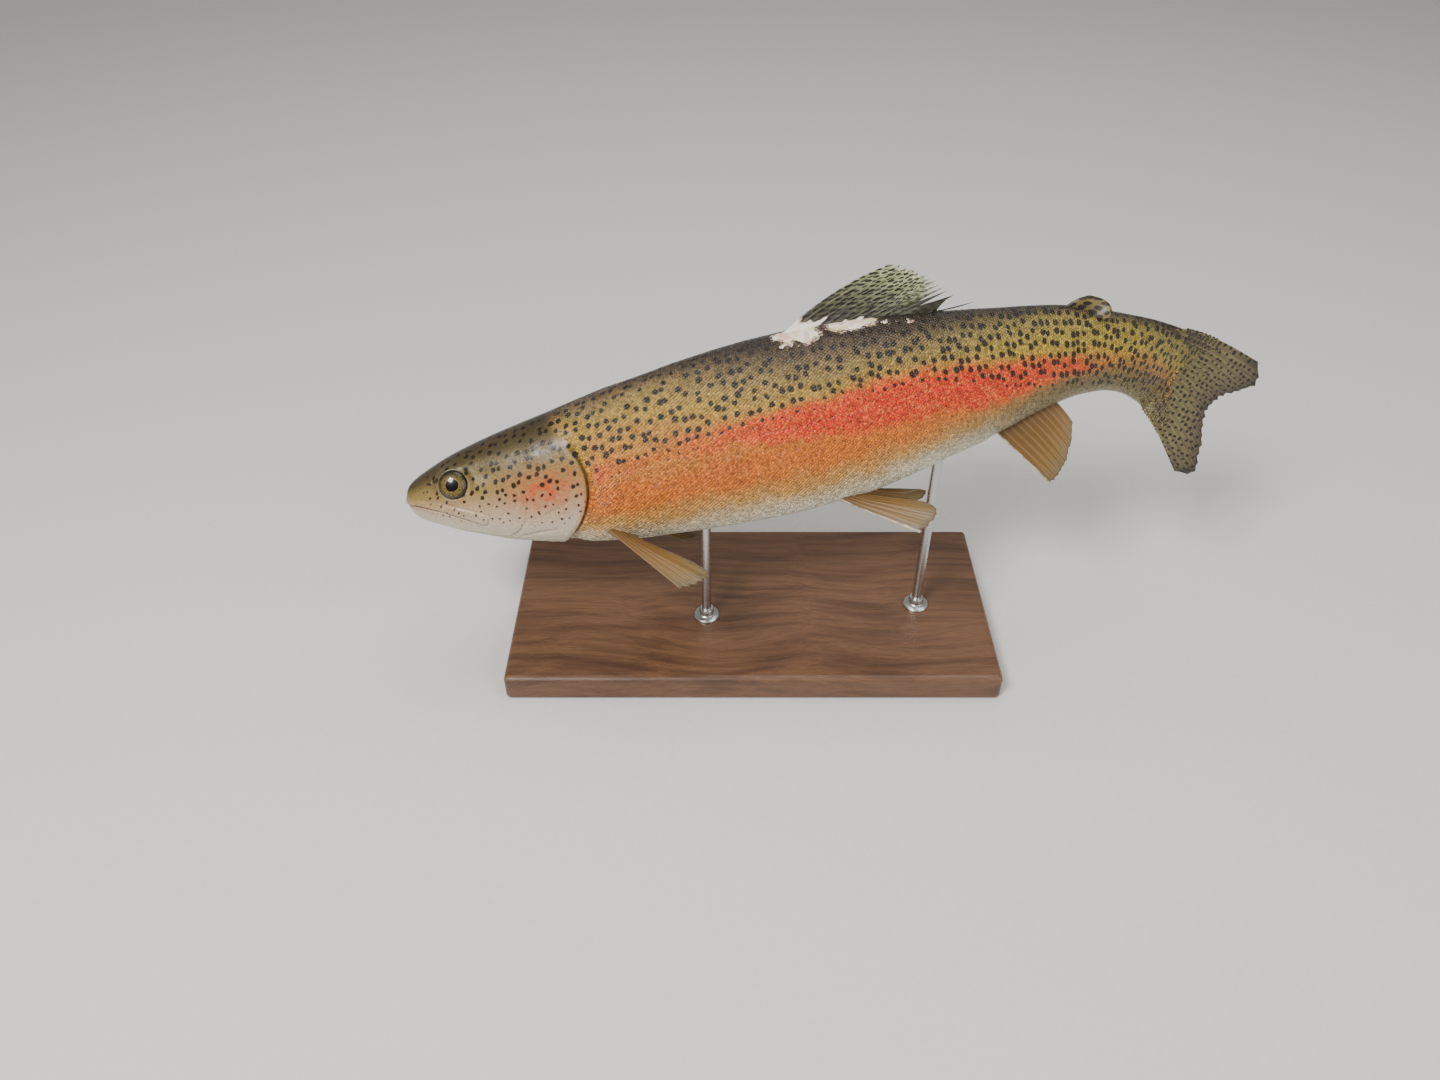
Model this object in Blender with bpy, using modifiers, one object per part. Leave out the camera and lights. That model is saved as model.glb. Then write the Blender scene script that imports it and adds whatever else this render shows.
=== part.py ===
"""A life-size rainbow trout, swimming with its tail dropped, held over a wooden base by two steel rods.

The fish is modelled straight, snout at the origin, tail towards +X, back towards +Z and its right side
towards +Y. It is parted with thin cuts and then bent along its backbone into the swimming pose.
"""

import math

import bmesh
import bpy
import numpy as np

COLLECTION = "rainbow_trout"

# Driving sizes, in metres
LENGTH = 0.452  # snout to the root of the tail fin
GAP = 0.0003  # between two pieces that touch
ANCHOR = (0.020, 0.0, 0.158)  # the middle of the backbone, above the floor under the base
BASE_SIZE = (0.300, 0.140, 0.018)
BASE_EDGE = 0.003
ROD_RADIUS = 0.003
ROD_IN_BASE = 0.010
ROD_IN_BODY = 0.009
EYE_RADIUS = 0.0086
EYE_HALF_DEPTH = 0.0040
EYE_SUNK = 0.0023  # the middle of the eye below the skin
GILL_COVER_DEPTH = 0.0025

# The bends of the backbone, in degrees
YAW = 4.0
HEAD_TURN = 3.0
TAIL_SWEEP = 2.0
NOSE_DOWN = 14.0
HEAD_LIFT = 9.0
TAIL_DROOP = 60.0
BANK = 22.0

# The outline at named stations, in parts of the length: place, back, belly, half width
STATIONS = {
    "lips": (0.000, 0.006, -0.013, 0.008),
    "snout": (0.011, 0.020, -0.024, 0.019),
    "nostrils": (0.035, 0.034, -0.037, 0.031),
    "eyes": (0.070, 0.049, -0.053, 0.041),
    "cheeks": (0.125, 0.065, -0.072, 0.051),
    "nape": (0.200, 0.080, -0.091, 0.059),
    "shoulders": (0.290, 0.094, -0.107, 0.063),
    "dorsal_origin": (0.480, 0.107, -0.121, 0.062),
    "pelvic_fins": (0.560, 0.104, -0.118, 0.058),
    "vent": (0.700, 0.084, -0.093, 0.045),
    "anal_fin_end": (0.820, 0.062, -0.062, 0.031),
    "wrist": (0.920, 0.048, -0.047, 0.021),
    "tail_root": (1.000, 0.055, -0.055, 0.006),
}
FULLNESS = 2.2  # 2 is an ellipse, more is squarer
RING_POINTS = 26

# Cuts, in parts of the length
GILL_OPENING = 0.238
GILL_OPENING_CURVE = 6.6
TAIL_CUT = 0.725
EYE_PLACE = (0.070, 0.017)
EYE_TILT = 14.0
ROD_PLACES = {"front": 0.36, "rear": 0.67}

# Colour as seen, roughness and metallic value
MATERIALS = {
    "olive skin": ((0.30, 0.25, 0.11), 0.32, 0.0),
    "cheek skin": ((0.33, 0.24, 0.20), 0.30, 0.0),
    "spotted fin": ((0.26, 0.27, 0.13), 0.38, 0.0),
    "amber fin": ((0.42, 0.24, 0.08), 0.38, 0.0),
    "eye": ((0.08, 0.07, 0.04), 0.08, 0.0),
    "walnut": ((0.15, 0.07, 0.03), 0.45, 0.0),
    "brushed steel": ((0.60, 0.60, 0.60), 0.30, 1.0),
}


def start():
    for leftover in list(bpy.data.objects):
        bpy.data.objects.remove(leftover, do_unlink=True)
    for name in (COLLECTION, "cutters"):
        collection = bpy.data.collections.new(name)
        bpy.context.scene.collection.children.link(collection)


def material(name):
    if name in bpy.data.materials:
        return bpy.data.materials[name]
    colour, roughness, metallic = MATERIALS[name]
    made = bpy.data.materials.new(name)
    made.use_nodes = True
    surface = made.node_tree.nodes["Principled BSDF"]
    surface.inputs["Base Color"].default_value = (*colour, 1.0)
    surface.inputs["Roughness"].default_value = roughness
    surface.inputs["Metallic"].default_value = metallic
    return made


def add_part(name, mesh, material_name):
    part = bpy.data.objects.new(name, mesh)
    mesh.materials.clear()
    mesh.materials.append(material(material_name))
    bpy.data.collections[COLLECTION].objects.link(part)
    return part


def add_cutter(name, mesh):
    cutter = bpy.data.objects.new(name, mesh)
    cutter.hide_render = True
    cutter.display_type = "WIRE"
    bpy.data.collections["cutters"].objects.link(cutter)
    return cutter


def mesh_of(name, shape):
    mesh = bpy.data.meshes.new(name)
    shape.to_mesh(mesh)
    shape.free()
    return mesh


# The backbone


def ease(low, high, value):
    share = np.clip((value - low) / (high - low), 0.0, 1.0)
    return share * share * (3.0 - 2.0 * share)


def backbone():
    """Points along the bent backbone, with the fish's own up and right there."""
    place = np.linspace(-0.05, 1.25, 521)
    turn = YAW + HEAD_TURN * (1.0 - ease(0.0, 0.42, place)) + TAIL_SWEEP * ease(0.62, 1.12, place)
    rise = NOSE_DOWN - HEAD_LIFT * (1.0 - ease(0.0, 0.35, place)) - TAIL_DROOP * ease(0.76, 1.09, place)
    turn, rise, bank = np.radians(turn), np.radians(rise), math.radians(BANK)
    along = np.stack([np.cos(turn) * np.cos(rise), np.sin(turn) * np.cos(rise), np.sin(rise)], axis=1)
    steps = (along[1:] + along[:-1]) / 2.0 * np.diff(place)[:, None] * LENGTH
    line = np.vstack([np.zeros(3), np.cumsum(steps, axis=0)])
    line += np.array(ANCHOR) - line[np.argmin(np.abs(place - 0.5))]
    level = np.stack([-np.sin(turn), np.cos(turn), np.zeros_like(turn)], axis=1)
    over = np.cross(along, level)
    up = over * math.cos(bank) + level * math.sin(bank)
    right = level * math.cos(bank) - over * math.sin(bank)
    return place, line, up, right


def bend(points):
    """Moves points of the straight fish to where they lie on the swimming one."""
    place, line, up, right = BACKBONE
    at = points[:, 0] / LENGTH
    origin, upward, sideways = (
        np.stack([np.interp(at, place, table[:, axis]) for axis in range(3)], axis=1)
        for table in (line, up, right)
    )
    return origin + points[:, 1:2] * sideways + points[:, 2:3] * upward


def settle(part):
    """Fixes the cuts of a straight part into its mesh and bends it into the pose."""
    bpy.context.view_layer.update()
    graph = bpy.context.evaluated_depsgraph_get()
    mesh = bpy.data.meshes.new_from_object(part.evaluated_get(graph))
    part.modifiers.clear()
    part.data = mesh
    points = np.empty(len(mesh.vertices) * 3, np.float32)
    mesh.vertices.foreach_get("co", points)
    mesh.vertices.foreach_set("co", bend(points.reshape(-1, 3)).ravel())
    mesh.update()
    mesh.shade_smooth()
    mesh.set_sharp_from_angle(angle=math.radians(40.0))


# The body


def smooth_curve(at, knots, values):
    """A curve through the knots that doesn't overshoot between them."""
    step = np.diff(knots)
    slope = np.diff(values) / step
    tangent = np.zeros(len(knots))
    same_way = slope[:-1] * slope[1:] > 0.0
    mean = 2.0 * slope[:-1] * slope[1:] / np.where(same_way, slope[:-1] + slope[1:], 1.0)
    tangent[1:-1] = np.where(same_way, mean, 0.0)
    tangent[0] = 1.4 * slope[0]
    tangent[-1] = slope[-1]
    k = np.clip(np.searchsorted(knots, at) - 1, 0, len(step) - 1)
    t = np.clip((at - knots[k]) / step[k], 0.0, 1.0)
    bulge = t * (1.0 - t) * step[k]
    blend = t * t * (3.0 - 2.0 * t)
    start_pull = bulge * (1.0 - t) * tangent[k]
    end_pull = bulge * t * tangent[k + 1]
    return values[k] * (1.0 - blend) + values[k + 1] * blend + start_pull - end_pull


def outline(at):
    """Back, belly and half width at a place along the fish, all in parts of the length."""
    table = np.array(list(STATIONS.values()))
    return [smooth_curve(np.asarray(at, float), table[:, 0], table[:, column]) for column in (1, 2, 3)]


def ring(at, grown=0.0):
    """One section of the body, in metres, grown outwards by a distance."""
    back, belly, half_width = outline(at)
    middle = (back + belly) / 2.0 * LENGTH
    half_height = (back - belly) / 2.0 * LENGTH + grown
    half_width = half_width * LENGTH + grown
    angle = np.arange(RING_POINTS) * (2.0 * math.pi / RING_POINTS)
    power = 2.0 / FULLNESS
    across = np.sign(np.sin(angle)) * np.abs(np.sin(angle)) ** power
    height = np.sign(np.cos(angle)) * np.abs(np.cos(angle)) ** power
    x = np.full(RING_POINTS, at * LENGTH)
    return np.stack([x, half_width * across, middle + half_height * height], axis=1)


def loft(name, rings):
    """A closed skin over a row of like rings, with a fan at each end."""
    shape = bmesh.new()
    rows = [[shape.verts.new(point) for point in points] for points in rings]
    count = len(rows[0])
    for row, following in zip(rows, rows[1:]):
        for i in range(count):
            j = (i + 1) % count
            shape.faces.new((row[i], row[j], following[j], following[i]))
    for row, points in ((rows[0], rings[0]), (rows[-1], rings[-1])):
        hub = shape.verts.new(points.mean(axis=0))
        for i in range(count):
            shape.faces.new((row[i], row[(i + 1) % count], hub))
    bmesh.ops.recalc_face_normals(shape, faces=shape.faces)
    return mesh_of(name, shape)


def body_places():
    """Sections close together at the snout and head, wider apart along the trunk."""
    head = 0.235 * np.linspace(0.0, 1.0, 15) ** 1.5
    trunk = np.linspace(0.235, 1.0, 25)[1:]
    return np.concatenate([head, trunk])


def body_mesh(name, grown=0.0, places=None):
    places = body_places() if places is None else places
    rings = [ring(at, grown) for at in places]
    rings[-1][:, 0] += grown
    return loft(name, rings)


def prism(name, corners, low, high):
    """A side-view outline of (place, height) corners, in parts of the length, from one y to another."""
    shape = bmesh.new()
    face = shape.faces.new([shape.verts.new((x * LENGTH, low, z * LENGTH)) for x, z in corners])
    pushed = bmesh.ops.extrude_face_region(shape, geom=[face])["geom"]
    moved = [item for item in pushed if isinstance(item, bmesh.types.BMVert)]
    bmesh.ops.translate(shape, verts=moved, vec=(0.0, high - low, 0.0))
    bmesh.ops.recalc_face_normals(shape, faces=shape.faces)
    return mesh_of(name, shape)


def cut(part, cutter, operation="DIFFERENCE"):
    modifier = part.modifiers.new(cutter.name, "BOOLEAN")
    modifier.operation = operation
    modifier.object = cutter
    modifier.solver = "EXACT"


def gill_edge(height, shift=0.0):
    """The rear edge of the head: furthest back at mid height, well forward at nape and throat."""
    return GILL_OPENING - GILL_OPENING_CURVE * height * height + shift


def zone(name, front, rear):
    """A slab of the body between two side-view edges, each a list of (place, height) from top down."""
    return add_cutter(name, prism(name, front + rear[::-1], -0.06, 0.06))


def body_zones():
    heights = np.linspace(0.13, -0.14, 19)
    gap = GAP / LENGTH
    ends = (heights[0], heights[-1])
    ahead, beyond = [[(place, height) for height in ends] for place in (-0.05, 1.05)]
    head_rear = [(gill_edge(height), height) for height in heights]
    trunk_front = [(gill_edge(height, gap), height) for height in heights]
    trunk_rear = [(TAIL_CUT, height) for height in ends]
    tail_front = [(TAIL_CUT + gap, height) for height in ends]
    return {
        "head": zone("head_zone", ahead, head_rear),
        "trunk": zone("trunk_zone", trunk_front, trunk_rear),
        "tail": zone("tail_zone", tail_front, beyond),
    }


def jaw_corners(spare):
    """The lower jaw in side view: the line of the mouth, its corner below the eye, and the throat."""
    return [
        (-0.020, -0.004 + spare),
        (0.030, -0.012 + spare),
        (0.092 + spare, -0.032 + spare),
        (0.108 + spare, -0.050),
        (0.116 + spare, -0.090),
        (-0.020, -0.090),
    ]


def gill_cover_corners(spare, rear):
    """The gill cover in side view: a round front edge behind the cheek, and its free rear edge."""
    top, bottom = 0.040 + spare, -0.062 - spare
    angles = np.radians(np.linspace(90.0, 270.0, 13))
    middle, half = (top + bottom) / 2.0, (top - bottom) / 2.0
    front = [(0.172 + (0.036 + spare) * math.cos(a), middle + half * math.sin(a)) for a in angles]
    behind = [(gill_edge(height, rear), height) for height in np.linspace(bottom, top, 11)]
    return front + behind


def make_head(zones):
    head = add_part("head", body_mesh("head"), "cheek skin")
    cut(head, zones["head"], "INTERSECT")
    gap = GAP / LENGTH
    cut(head, add_cutter("jaw_clearance", prism("jaw_clearance", jaw_corners(gap), -0.04, 0.04)))
    throat = np.linspace(0.08, 0.30, 12)
    for side, sign in (("left", -1.0), ("right", 1.0)):
        cover_mesh = body_mesh(f"gill_cover_{side}")
        cover = add_part(f"gill_cover_{side}", cover_mesh, "cheek skin")
        reach = sorted((sign * 0.008, sign * 0.05))
        shape = prism(f"cover_shape_{side}", gill_cover_corners(0.0, 0.0), *reach)
        cut(cover, add_cutter(f"cover_shape_{side}", shape), "INTERSECT")
        core = body_mesh(f"cover_core_{side}", -GILL_COVER_DEPTH, throat)
        cut(cover, add_cutter(f"cover_core_{side}", core))
        pocket = add_cutter(f"pocket_{side}", prism(f"pocket_{side}", gill_cover_corners(gap, 0.02), *reach))
        deeper = body_mesh(f"pocket_core_{side}", -GILL_COVER_DEPTH - GAP, throat)
        cut(pocket, add_cutter(f"pocket_core_{side}", deeper))
        cut(head, pocket)
        eye = make_eye(side, sign, EYE_RADIUS, EYE_HALF_DEPTH)
        add_part(f"eye_{side}", eye, "eye")
        socket = make_eye(side, sign, EYE_RADIUS + GAP, EYE_HALF_DEPTH + GAP)
        cut(head, add_cutter(f"eye_socket_{side}", socket))


def skin_side(at, height):
    """How far the skin is from the middle plane, in metres, at a place and height."""
    back, belly, half_width = outline(at)
    share = abs(height - (back + belly) / 2.0) / ((back - belly) / 2.0)
    return half_width * LENGTH * (1.0 - share**FULLNESS) ** (1.0 / FULLNESS)


def make_eye(side, sign, radius, half_depth):
    shape = bmesh.new()
    bmesh.ops.create_uvsphere(shape, u_segments=20, v_segments=10, radius=1.0)
    mesh = mesh_of(f"eye_{side}", shape)
    points = np.empty(len(mesh.vertices) * 3, np.float32)
    mesh.vertices.foreach_get("co", points)
    points = points.reshape(-1, 3)[:, [0, 2, 1]] * np.array([1.0, -1.0, 1.0])
    points *= np.array([radius, half_depth, radius])
    tilt = math.radians(EYE_TILT) * sign
    y = points[:, 1] * math.cos(tilt) - points[:, 2] * math.sin(tilt)
    z = points[:, 1] * math.sin(tilt) + points[:, 2] * math.cos(tilt)
    place, height = EYE_PLACE
    y += sign * (skin_side(place, height) - EYE_SUNK)
    moved = np.stack([points[:, 0] + place * LENGTH, y, z + height * LENGTH], axis=1)
    mesh.vertices.foreach_set("co", moved.ravel())
    mesh.update()
    return mesh


def make_body():
    zones = body_zones()
    make_head(zones)
    jaw = add_part("lower_jaw", body_mesh("lower_jaw"), "cheek skin")
    cut(jaw, add_cutter("jaw_shape", prism("jaw_shape", jaw_corners(0.0), -0.04, 0.04)), "INTERSECT")
    trunk = add_part("trunk", body_mesh("trunk"), "olive skin")
    cut(trunk, zones["trunk"], "INTERSECT")
    tail = add_part("tail_stalk", body_mesh("tail_stalk"), "olive skin")
    cut(tail, zones["tail"], "INTERSECT")


# The fins


def through(start_point, middle_point, end_point, share):
    """A curve through three points, at a share of the way from the first to the last."""
    pull = 2.0 * middle_point - (start_point + end_point) / 2.0
    early = start_point * (1.0 - share) ** 2
    return early + pull * (2.0 * share * (1.0 - share)) + end_point * share**2


def web(name, material_name, grid, thick, thin_rim):
    """A fin from a grid of points, a column for each line of the fan, made solid and trimmed to the body."""
    columns, rows = grid.shape[:2]
    shape = bmesh.new()
    lines = [[shape.verts.new(point * LENGTH) for point in column] for column in grid]
    for line, following in zip(lines, lines[1:]):
        for row in range(rows - 1):
            shape.faces.new((line[row], line[row + 1], following[row + 1], following[row]))
    bmesh.ops.recalc_face_normals(shape, faces=shape.faces)
    fin = add_part(name, mesh_of(name, shape), material_name)
    shell = fin.modifiers.new("thickness", "SOLIDIFY")
    shell.thickness = thick
    shell.offset = 0.0
    root_end = fin.vertex_groups.new(name="root")
    for index in range(columns * rows):
        root_end.add([index], 1.0 - index % rows / (rows - 1), "REPLACE")
    shell.vertex_group = "root"
    shell.thickness_vertex_group = thin_rim
    cut(fin, bpy.data.objects["body_clearance"])


def ridge(between, v):
    """The web's rise, in parts of the length, on a ray and its fall between two rays."""
    return 0.0006 * (0.5 - between) * math.sin(math.pi * min(v * 1.5, 0.8))


def make_fin(name, material_name, rays, rows, roots, tips, across, thick, **form):
    """A fan of rays from a root line to a rim curve.

    roots has the front and rear ends of the root line and tips three points of the rim, as (place, right,
    up) in parts of the length. across is the way the web faces. In form, bow arches the rays, cup arches
    the web and torn is how far the rim falls in between two rays.
    """
    roots, tips = np.array(roots), np.array(tips)
    bow = np.array(form.get("bow", (0.0, 0.0, 0.0)))
    across = np.array(across) / np.linalg.norm(across)
    chance = np.random.default_rng(rays)
    columns = 2 * rays - 1
    grid = np.empty((columns, rows, 3))
    for column in range(columns):
        u = column / (columns - 1)
        root = roots[0] * (1.0 - u) + roots[1] * u
        tip = through(*tips, u)
        between = column % 2
        fall = form.get("torn", 0.02) * between * chance.uniform(0.5, 1.5)
        for row in range(rows):
            v = row / (rows - 1)
            reach = v * (1.0 - fall * v)
            arch = form.get("cup", 0.0) * math.sin(math.pi * u) * v
            point = root + (tip - root) * reach + bow * (4.0 * v * (1.0 - v) * (1.0 - u))
            grid[column, row] = point + across * (arch + ridge(between, v))
    web(name, material_name, grid, thick, 0.6)


def make_middle_fins():
    side = (0.0, 1.0, 0.0)
    make_fin(
        "dorsal_fin", "spotted fin", 13, 7,
        roots=((0.500, 0.0, 0.096), (0.640, 0.0, 0.082)),
        tips=((0.662, 0.0, 0.153), (0.703, 0.0, 0.124), (0.722, 0.0, 0.094)),
        across=side, thick=0.0015, bow=(0.0, 0.0, 0.010), torn=0.07, cup=0.006,
    )  # fmt: skip
    make_fin(
        "adipose_fin", "spotted fin", 4, 5,
        roots=((0.834, 0.0, 0.050), (0.862, -0.003, 0.044)),
        tips=((0.864, -0.009, 0.068), (0.882, -0.018, 0.058), (0.879, -0.026, 0.041)),
        across=(0.0, 0.9, 0.45), thick=0.0032, torn=0.0, bow=(-0.002, 0.0, 0.004),
    )  # fmt: skip
    make_fin(
        "anal_fin", "amber fin", 11, 6,
        roots=((0.738, 0.0, -0.072), (0.822, 0.0, -0.052)),
        tips=((0.806, 0.0, -0.164), (0.842, 0.0, -0.134), (0.856, 0.0, -0.088)),
        across=side, thick=0.0014, bow=(0.0, 0.0, -0.006), torn=0.03, cup=-0.004,
    )  # fmt: skip


def make_tail_fin():
    """Two lobes of rays, upper and lower, that share the short middle ray at the fork."""
    root_place, root_height = 0.975, 0.046
    fork, lobe_end, spread = 1.088, 1.131, 0.088
    rays, rows = 19, 7
    columns = 2 * rays - 1
    grid = np.empty((columns, rows, 3))
    for column in range(columns):
        side = 1.0 - 2.0 * column / (columns - 1)
        lobe = abs(side)
        between = column % 2
        rounded = 0.5 * max(0.0, lobe - 0.75) ** 2
        reach = fork + (lobe_end - fork) * ease(0.0, 0.95, lobe) - rounded - 0.003 * between
        for row in range(rows):
            v = row / (rows - 1)
            place = root_place + (reach - root_place) * v
            height = side * (root_height + (spread - root_height) * v ** (1.25 - 0.35 * lobe))
            wave = 0.010 * v * math.sin(2.6 * side + 0.4)
            grid[column, row] = (place, wave + ridge(between, v), height)
    web("caudal_fin", "spotted fin", grid, 0.0016, 0.55)


def make_paired_fins():
    for side, sign, spread in (("left", -1.0, 1.0), ("right", 1.0, 0.82)):
        flip = np.array([1.0, sign, 1.0])
        out = np.array([1.0, spread, 1.0])
        pectoral_tips = np.array([(0.322, 0.108, -0.150), (0.356, 0.084, -0.152), (0.322, 0.040, -0.134)])
        make_fin(
            f"pectoral_fin_{side}", "amber fin", 12, 6,
            roots=np.array([(0.236, 0.036, -0.064), (0.258, 0.026, -0.084)]) * flip,
            tips=pectoral_tips * flip * out,
            across=np.array((0.45, 0.55, 0.70)) * flip, thick=0.0014, torn=0.04, cup=0.006,
        )  # fmt: skip
        pelvic_tips = np.array([(0.622, 0.058, -0.168), (0.648, 0.042, -0.150), (0.618, 0.018, -0.136)])
        make_fin(
            f"pelvic_fin_{side}", "amber fin", 9, 5,
            roots=np.array([(0.528, 0.020, -0.108), (0.552, 0.010, -0.110)]) * flip,
            tips=pelvic_tips * flip * out,
            across=np.array((0.30, 0.50, 0.80)) * flip, thick=0.0013, torn=0.03, cup=0.004,
        )  # fmt: skip


# The stand


def lowest_point(at):
    """The point of the bent body's section at this place that is nearest the floor."""
    points = bend(ring(at))
    return points[np.argmin(points[:, 2])]


def rod_mesh(name, radius, low, high, where):
    shape = bmesh.new()
    bmesh.ops.create_cone(
        shape, cap_ends=True, segments=24, radius1=radius, radius2=radius, depth=high - low
    )  # fmt: skip
    bmesh.ops.translate(shape, verts=shape.verts, vec=(where[0], where[1], (low + high) / 2.0))
    mesh = mesh_of(name, shape)
    mesh.shade_smooth()
    mesh.set_sharp_from_angle(angle=math.radians(40.0))
    return mesh


def make_stand():
    shape = bmesh.new()
    bmesh.ops.create_cube(shape, size=1.0)
    bmesh.ops.scale(shape, verts=shape.verts, vec=BASE_SIZE)
    bmesh.ops.translate(shape, verts=shape.verts, vec=(0.0, 0.0, BASE_SIZE[2] / 2.0))
    base = add_part("stand_base", mesh_of("stand_base", shape), "walnut")
    rounding = base.modifiers.new("rounded edges", "BEVEL")
    rounding.width = BASE_EDGE
    rounding.segments = 3
    trunk = bpy.data.objects["trunk"]
    foot = BASE_SIZE[2] - ROD_IN_BASE
    for name, at in ROD_PLACES.items():
        where = lowest_point(at)
        top = where[2] + ROD_IN_BODY
        rod = rod_mesh(f"stand_rod_{name}", ROD_RADIUS, foot + GAP, top, where)
        add_part(f"stand_rod_{name}", rod, "brushed steel")
        bore = ROD_RADIUS + GAP
        below = where[2] - 0.03
        body_bore = rod_mesh(f"body_bore_{name}", bore, below, top + GAP, where)
        cut(trunk, add_cutter(f"body_bore_{name}", body_bore))
        base_bore = rod_mesh(f"base_bore_{name}", bore, foot, BASE_SIZE[2] + 0.01, where)
        cut(base, add_cutter(f"base_bore_{name}", base_bore))


BACKBONE = backbone()
start()
make_body()
add_cutter("body_clearance", body_mesh("body_clearance", GAP))
make_middle_fins()
make_tail_fin()
make_paired_fins()
for fish_part in list(bpy.data.collections[COLLECTION].objects):
    settle(fish_part)
make_stand()
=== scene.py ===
"""A life-size rainbow trout on a walnut and steel display stand, with its skin, scales, eyes and fins.

The fish is shaped straight, in millimetres: snout at the origin, tail towards +X, back towards +Z and its
right side towards +Y. Each piece is then bent along the backbone of the swimming pose, into metres.
"""

import functools
import math

import bmesh
import bpy
import numpy as np
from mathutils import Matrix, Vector


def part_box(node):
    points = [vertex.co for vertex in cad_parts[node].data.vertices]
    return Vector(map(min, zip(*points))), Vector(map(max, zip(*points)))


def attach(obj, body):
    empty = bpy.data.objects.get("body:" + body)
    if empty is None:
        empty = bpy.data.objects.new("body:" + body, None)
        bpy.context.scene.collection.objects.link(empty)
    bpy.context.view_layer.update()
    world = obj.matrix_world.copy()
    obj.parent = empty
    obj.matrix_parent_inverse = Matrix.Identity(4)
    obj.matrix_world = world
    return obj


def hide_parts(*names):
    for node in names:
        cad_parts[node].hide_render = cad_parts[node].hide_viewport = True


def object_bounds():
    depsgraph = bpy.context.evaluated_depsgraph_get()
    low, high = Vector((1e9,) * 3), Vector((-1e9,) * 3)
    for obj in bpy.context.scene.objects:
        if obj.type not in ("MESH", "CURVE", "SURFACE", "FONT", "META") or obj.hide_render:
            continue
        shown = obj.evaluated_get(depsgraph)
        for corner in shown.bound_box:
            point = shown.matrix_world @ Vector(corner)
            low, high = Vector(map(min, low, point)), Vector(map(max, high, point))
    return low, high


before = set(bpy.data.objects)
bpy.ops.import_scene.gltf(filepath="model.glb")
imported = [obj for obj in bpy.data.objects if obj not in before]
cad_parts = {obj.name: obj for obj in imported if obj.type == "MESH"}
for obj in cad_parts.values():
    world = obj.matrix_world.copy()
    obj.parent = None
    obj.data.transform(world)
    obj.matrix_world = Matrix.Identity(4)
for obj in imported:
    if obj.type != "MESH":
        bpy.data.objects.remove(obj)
solid_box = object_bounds()


# ---------------------------------------------------------------------------------------------------------
# The form of the body
#
# A trout is a spindle of muscle on a bent backbone, deepest under the back fin and narrowest at the wrist
# of the tail. Skin, scales, eyes and the roots of the fins all follow this one rule of form.

MM = 0.001
LENGTH = 452.0  # snout to the root of the tail fin
FLESH = ("head", "lower_jaw", "gill_cover_left", "gill_cover_right", "trunk", "tail_stalk")

# The bends of the backbone, in degrees
YAW, HEAD_TURN, TAIL_SWEEP = 4.0, 3.0, 2.0
NOSE_DOWN, HEAD_LIFT, TAIL_DROOP = 14.0, 9.0, 60.0
BANK = 22.0

# The outline at named stations, in parts of the length: place, back, belly, half width
STATIONS = {
    "lips": (0.000, 0.006, -0.013, 0.008),
    "snout": (0.011, 0.020, -0.024, 0.019),
    "nostrils": (0.035, 0.034, -0.037, 0.031),
    "eyes": (0.070, 0.049, -0.053, 0.041),
    "cheeks": (0.125, 0.065, -0.072, 0.051),
    "nape": (0.200, 0.080, -0.091, 0.059),
    "shoulders": (0.290, 0.094, -0.107, 0.063),
    "dorsal_origin": (0.480, 0.107, -0.121, 0.062),
    "pelvic_fins": (0.560, 0.104, -0.118, 0.058),
    "vent": (0.700, 0.084, -0.093, 0.045),
    "anal_fin_end": (0.820, 0.062, -0.062, 0.031),
    "wrist": (0.920, 0.048, -0.047, 0.021),
    "tail_root": (1.000, 0.055, -0.055, 0.006),
}
FULLNESS = 2.2  # of the section: 2 is an ellipse, more is squarer


def ease(low, high, value):
    """0 below low, 1 above high, and a smooth step between them."""
    share = np.clip((value - low) / (high - low), 0.0, 1.0)
    return share * share * (3.0 - 2.0 * share)


def fade(low, high, value):
    """1 below low, 0 above high, and a smooth step between them."""
    return 1.0 - ease(low, high, value)


def hump(distance, width):
    """1 where there is no distance, falling away smoothly to nothing at about twice the width."""
    return np.exp(-((distance / width) ** 2))


def backbone():
    """Points along the bent backbone, in mm, with the fish's own up and right there."""
    place = np.linspace(-0.05, 1.25, 521)
    turn = np.radians(YAW + HEAD_TURN * fade(0.0, 0.42, place) + TAIL_SWEEP * ease(0.62, 1.12, place))
    rise = np.radians(NOSE_DOWN - HEAD_LIFT * fade(0.0, 0.35, place) - TAIL_DROOP * ease(0.76, 1.09, place))
    along = np.stack([np.cos(turn) * np.cos(rise), np.sin(turn) * np.cos(rise), np.sin(rise)], axis=1)
    steps = (along[1:] + along[:-1]) / 2.0 * np.diff(place)[:, None] * LENGTH
    line = np.vstack([np.zeros(3), np.cumsum(steps, axis=0)])
    level = np.stack([-np.sin(turn), np.cos(turn), np.zeros_like(turn)], axis=1)
    over = np.cross(along, level)
    bank = math.radians(BANK)
    up = over * math.cos(bank) + level * math.sin(bank)
    right = level * math.cos(bank) - over * math.sin(bank)
    return place, line, up, right


def bend(points):
    """Moves points of the straight fish, in mm, to where they lie on the swimming one, in metres."""
    place, *tables = SPINE
    at = points[..., 0] / LENGTH
    origin, up, right = (
        np.stack([np.interp(at, place, column) for column in table.T], axis=-1) for table in tables
    )
    return (origin + points[..., 1:2] * right + points[..., 2:3] * up) * MM


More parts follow.
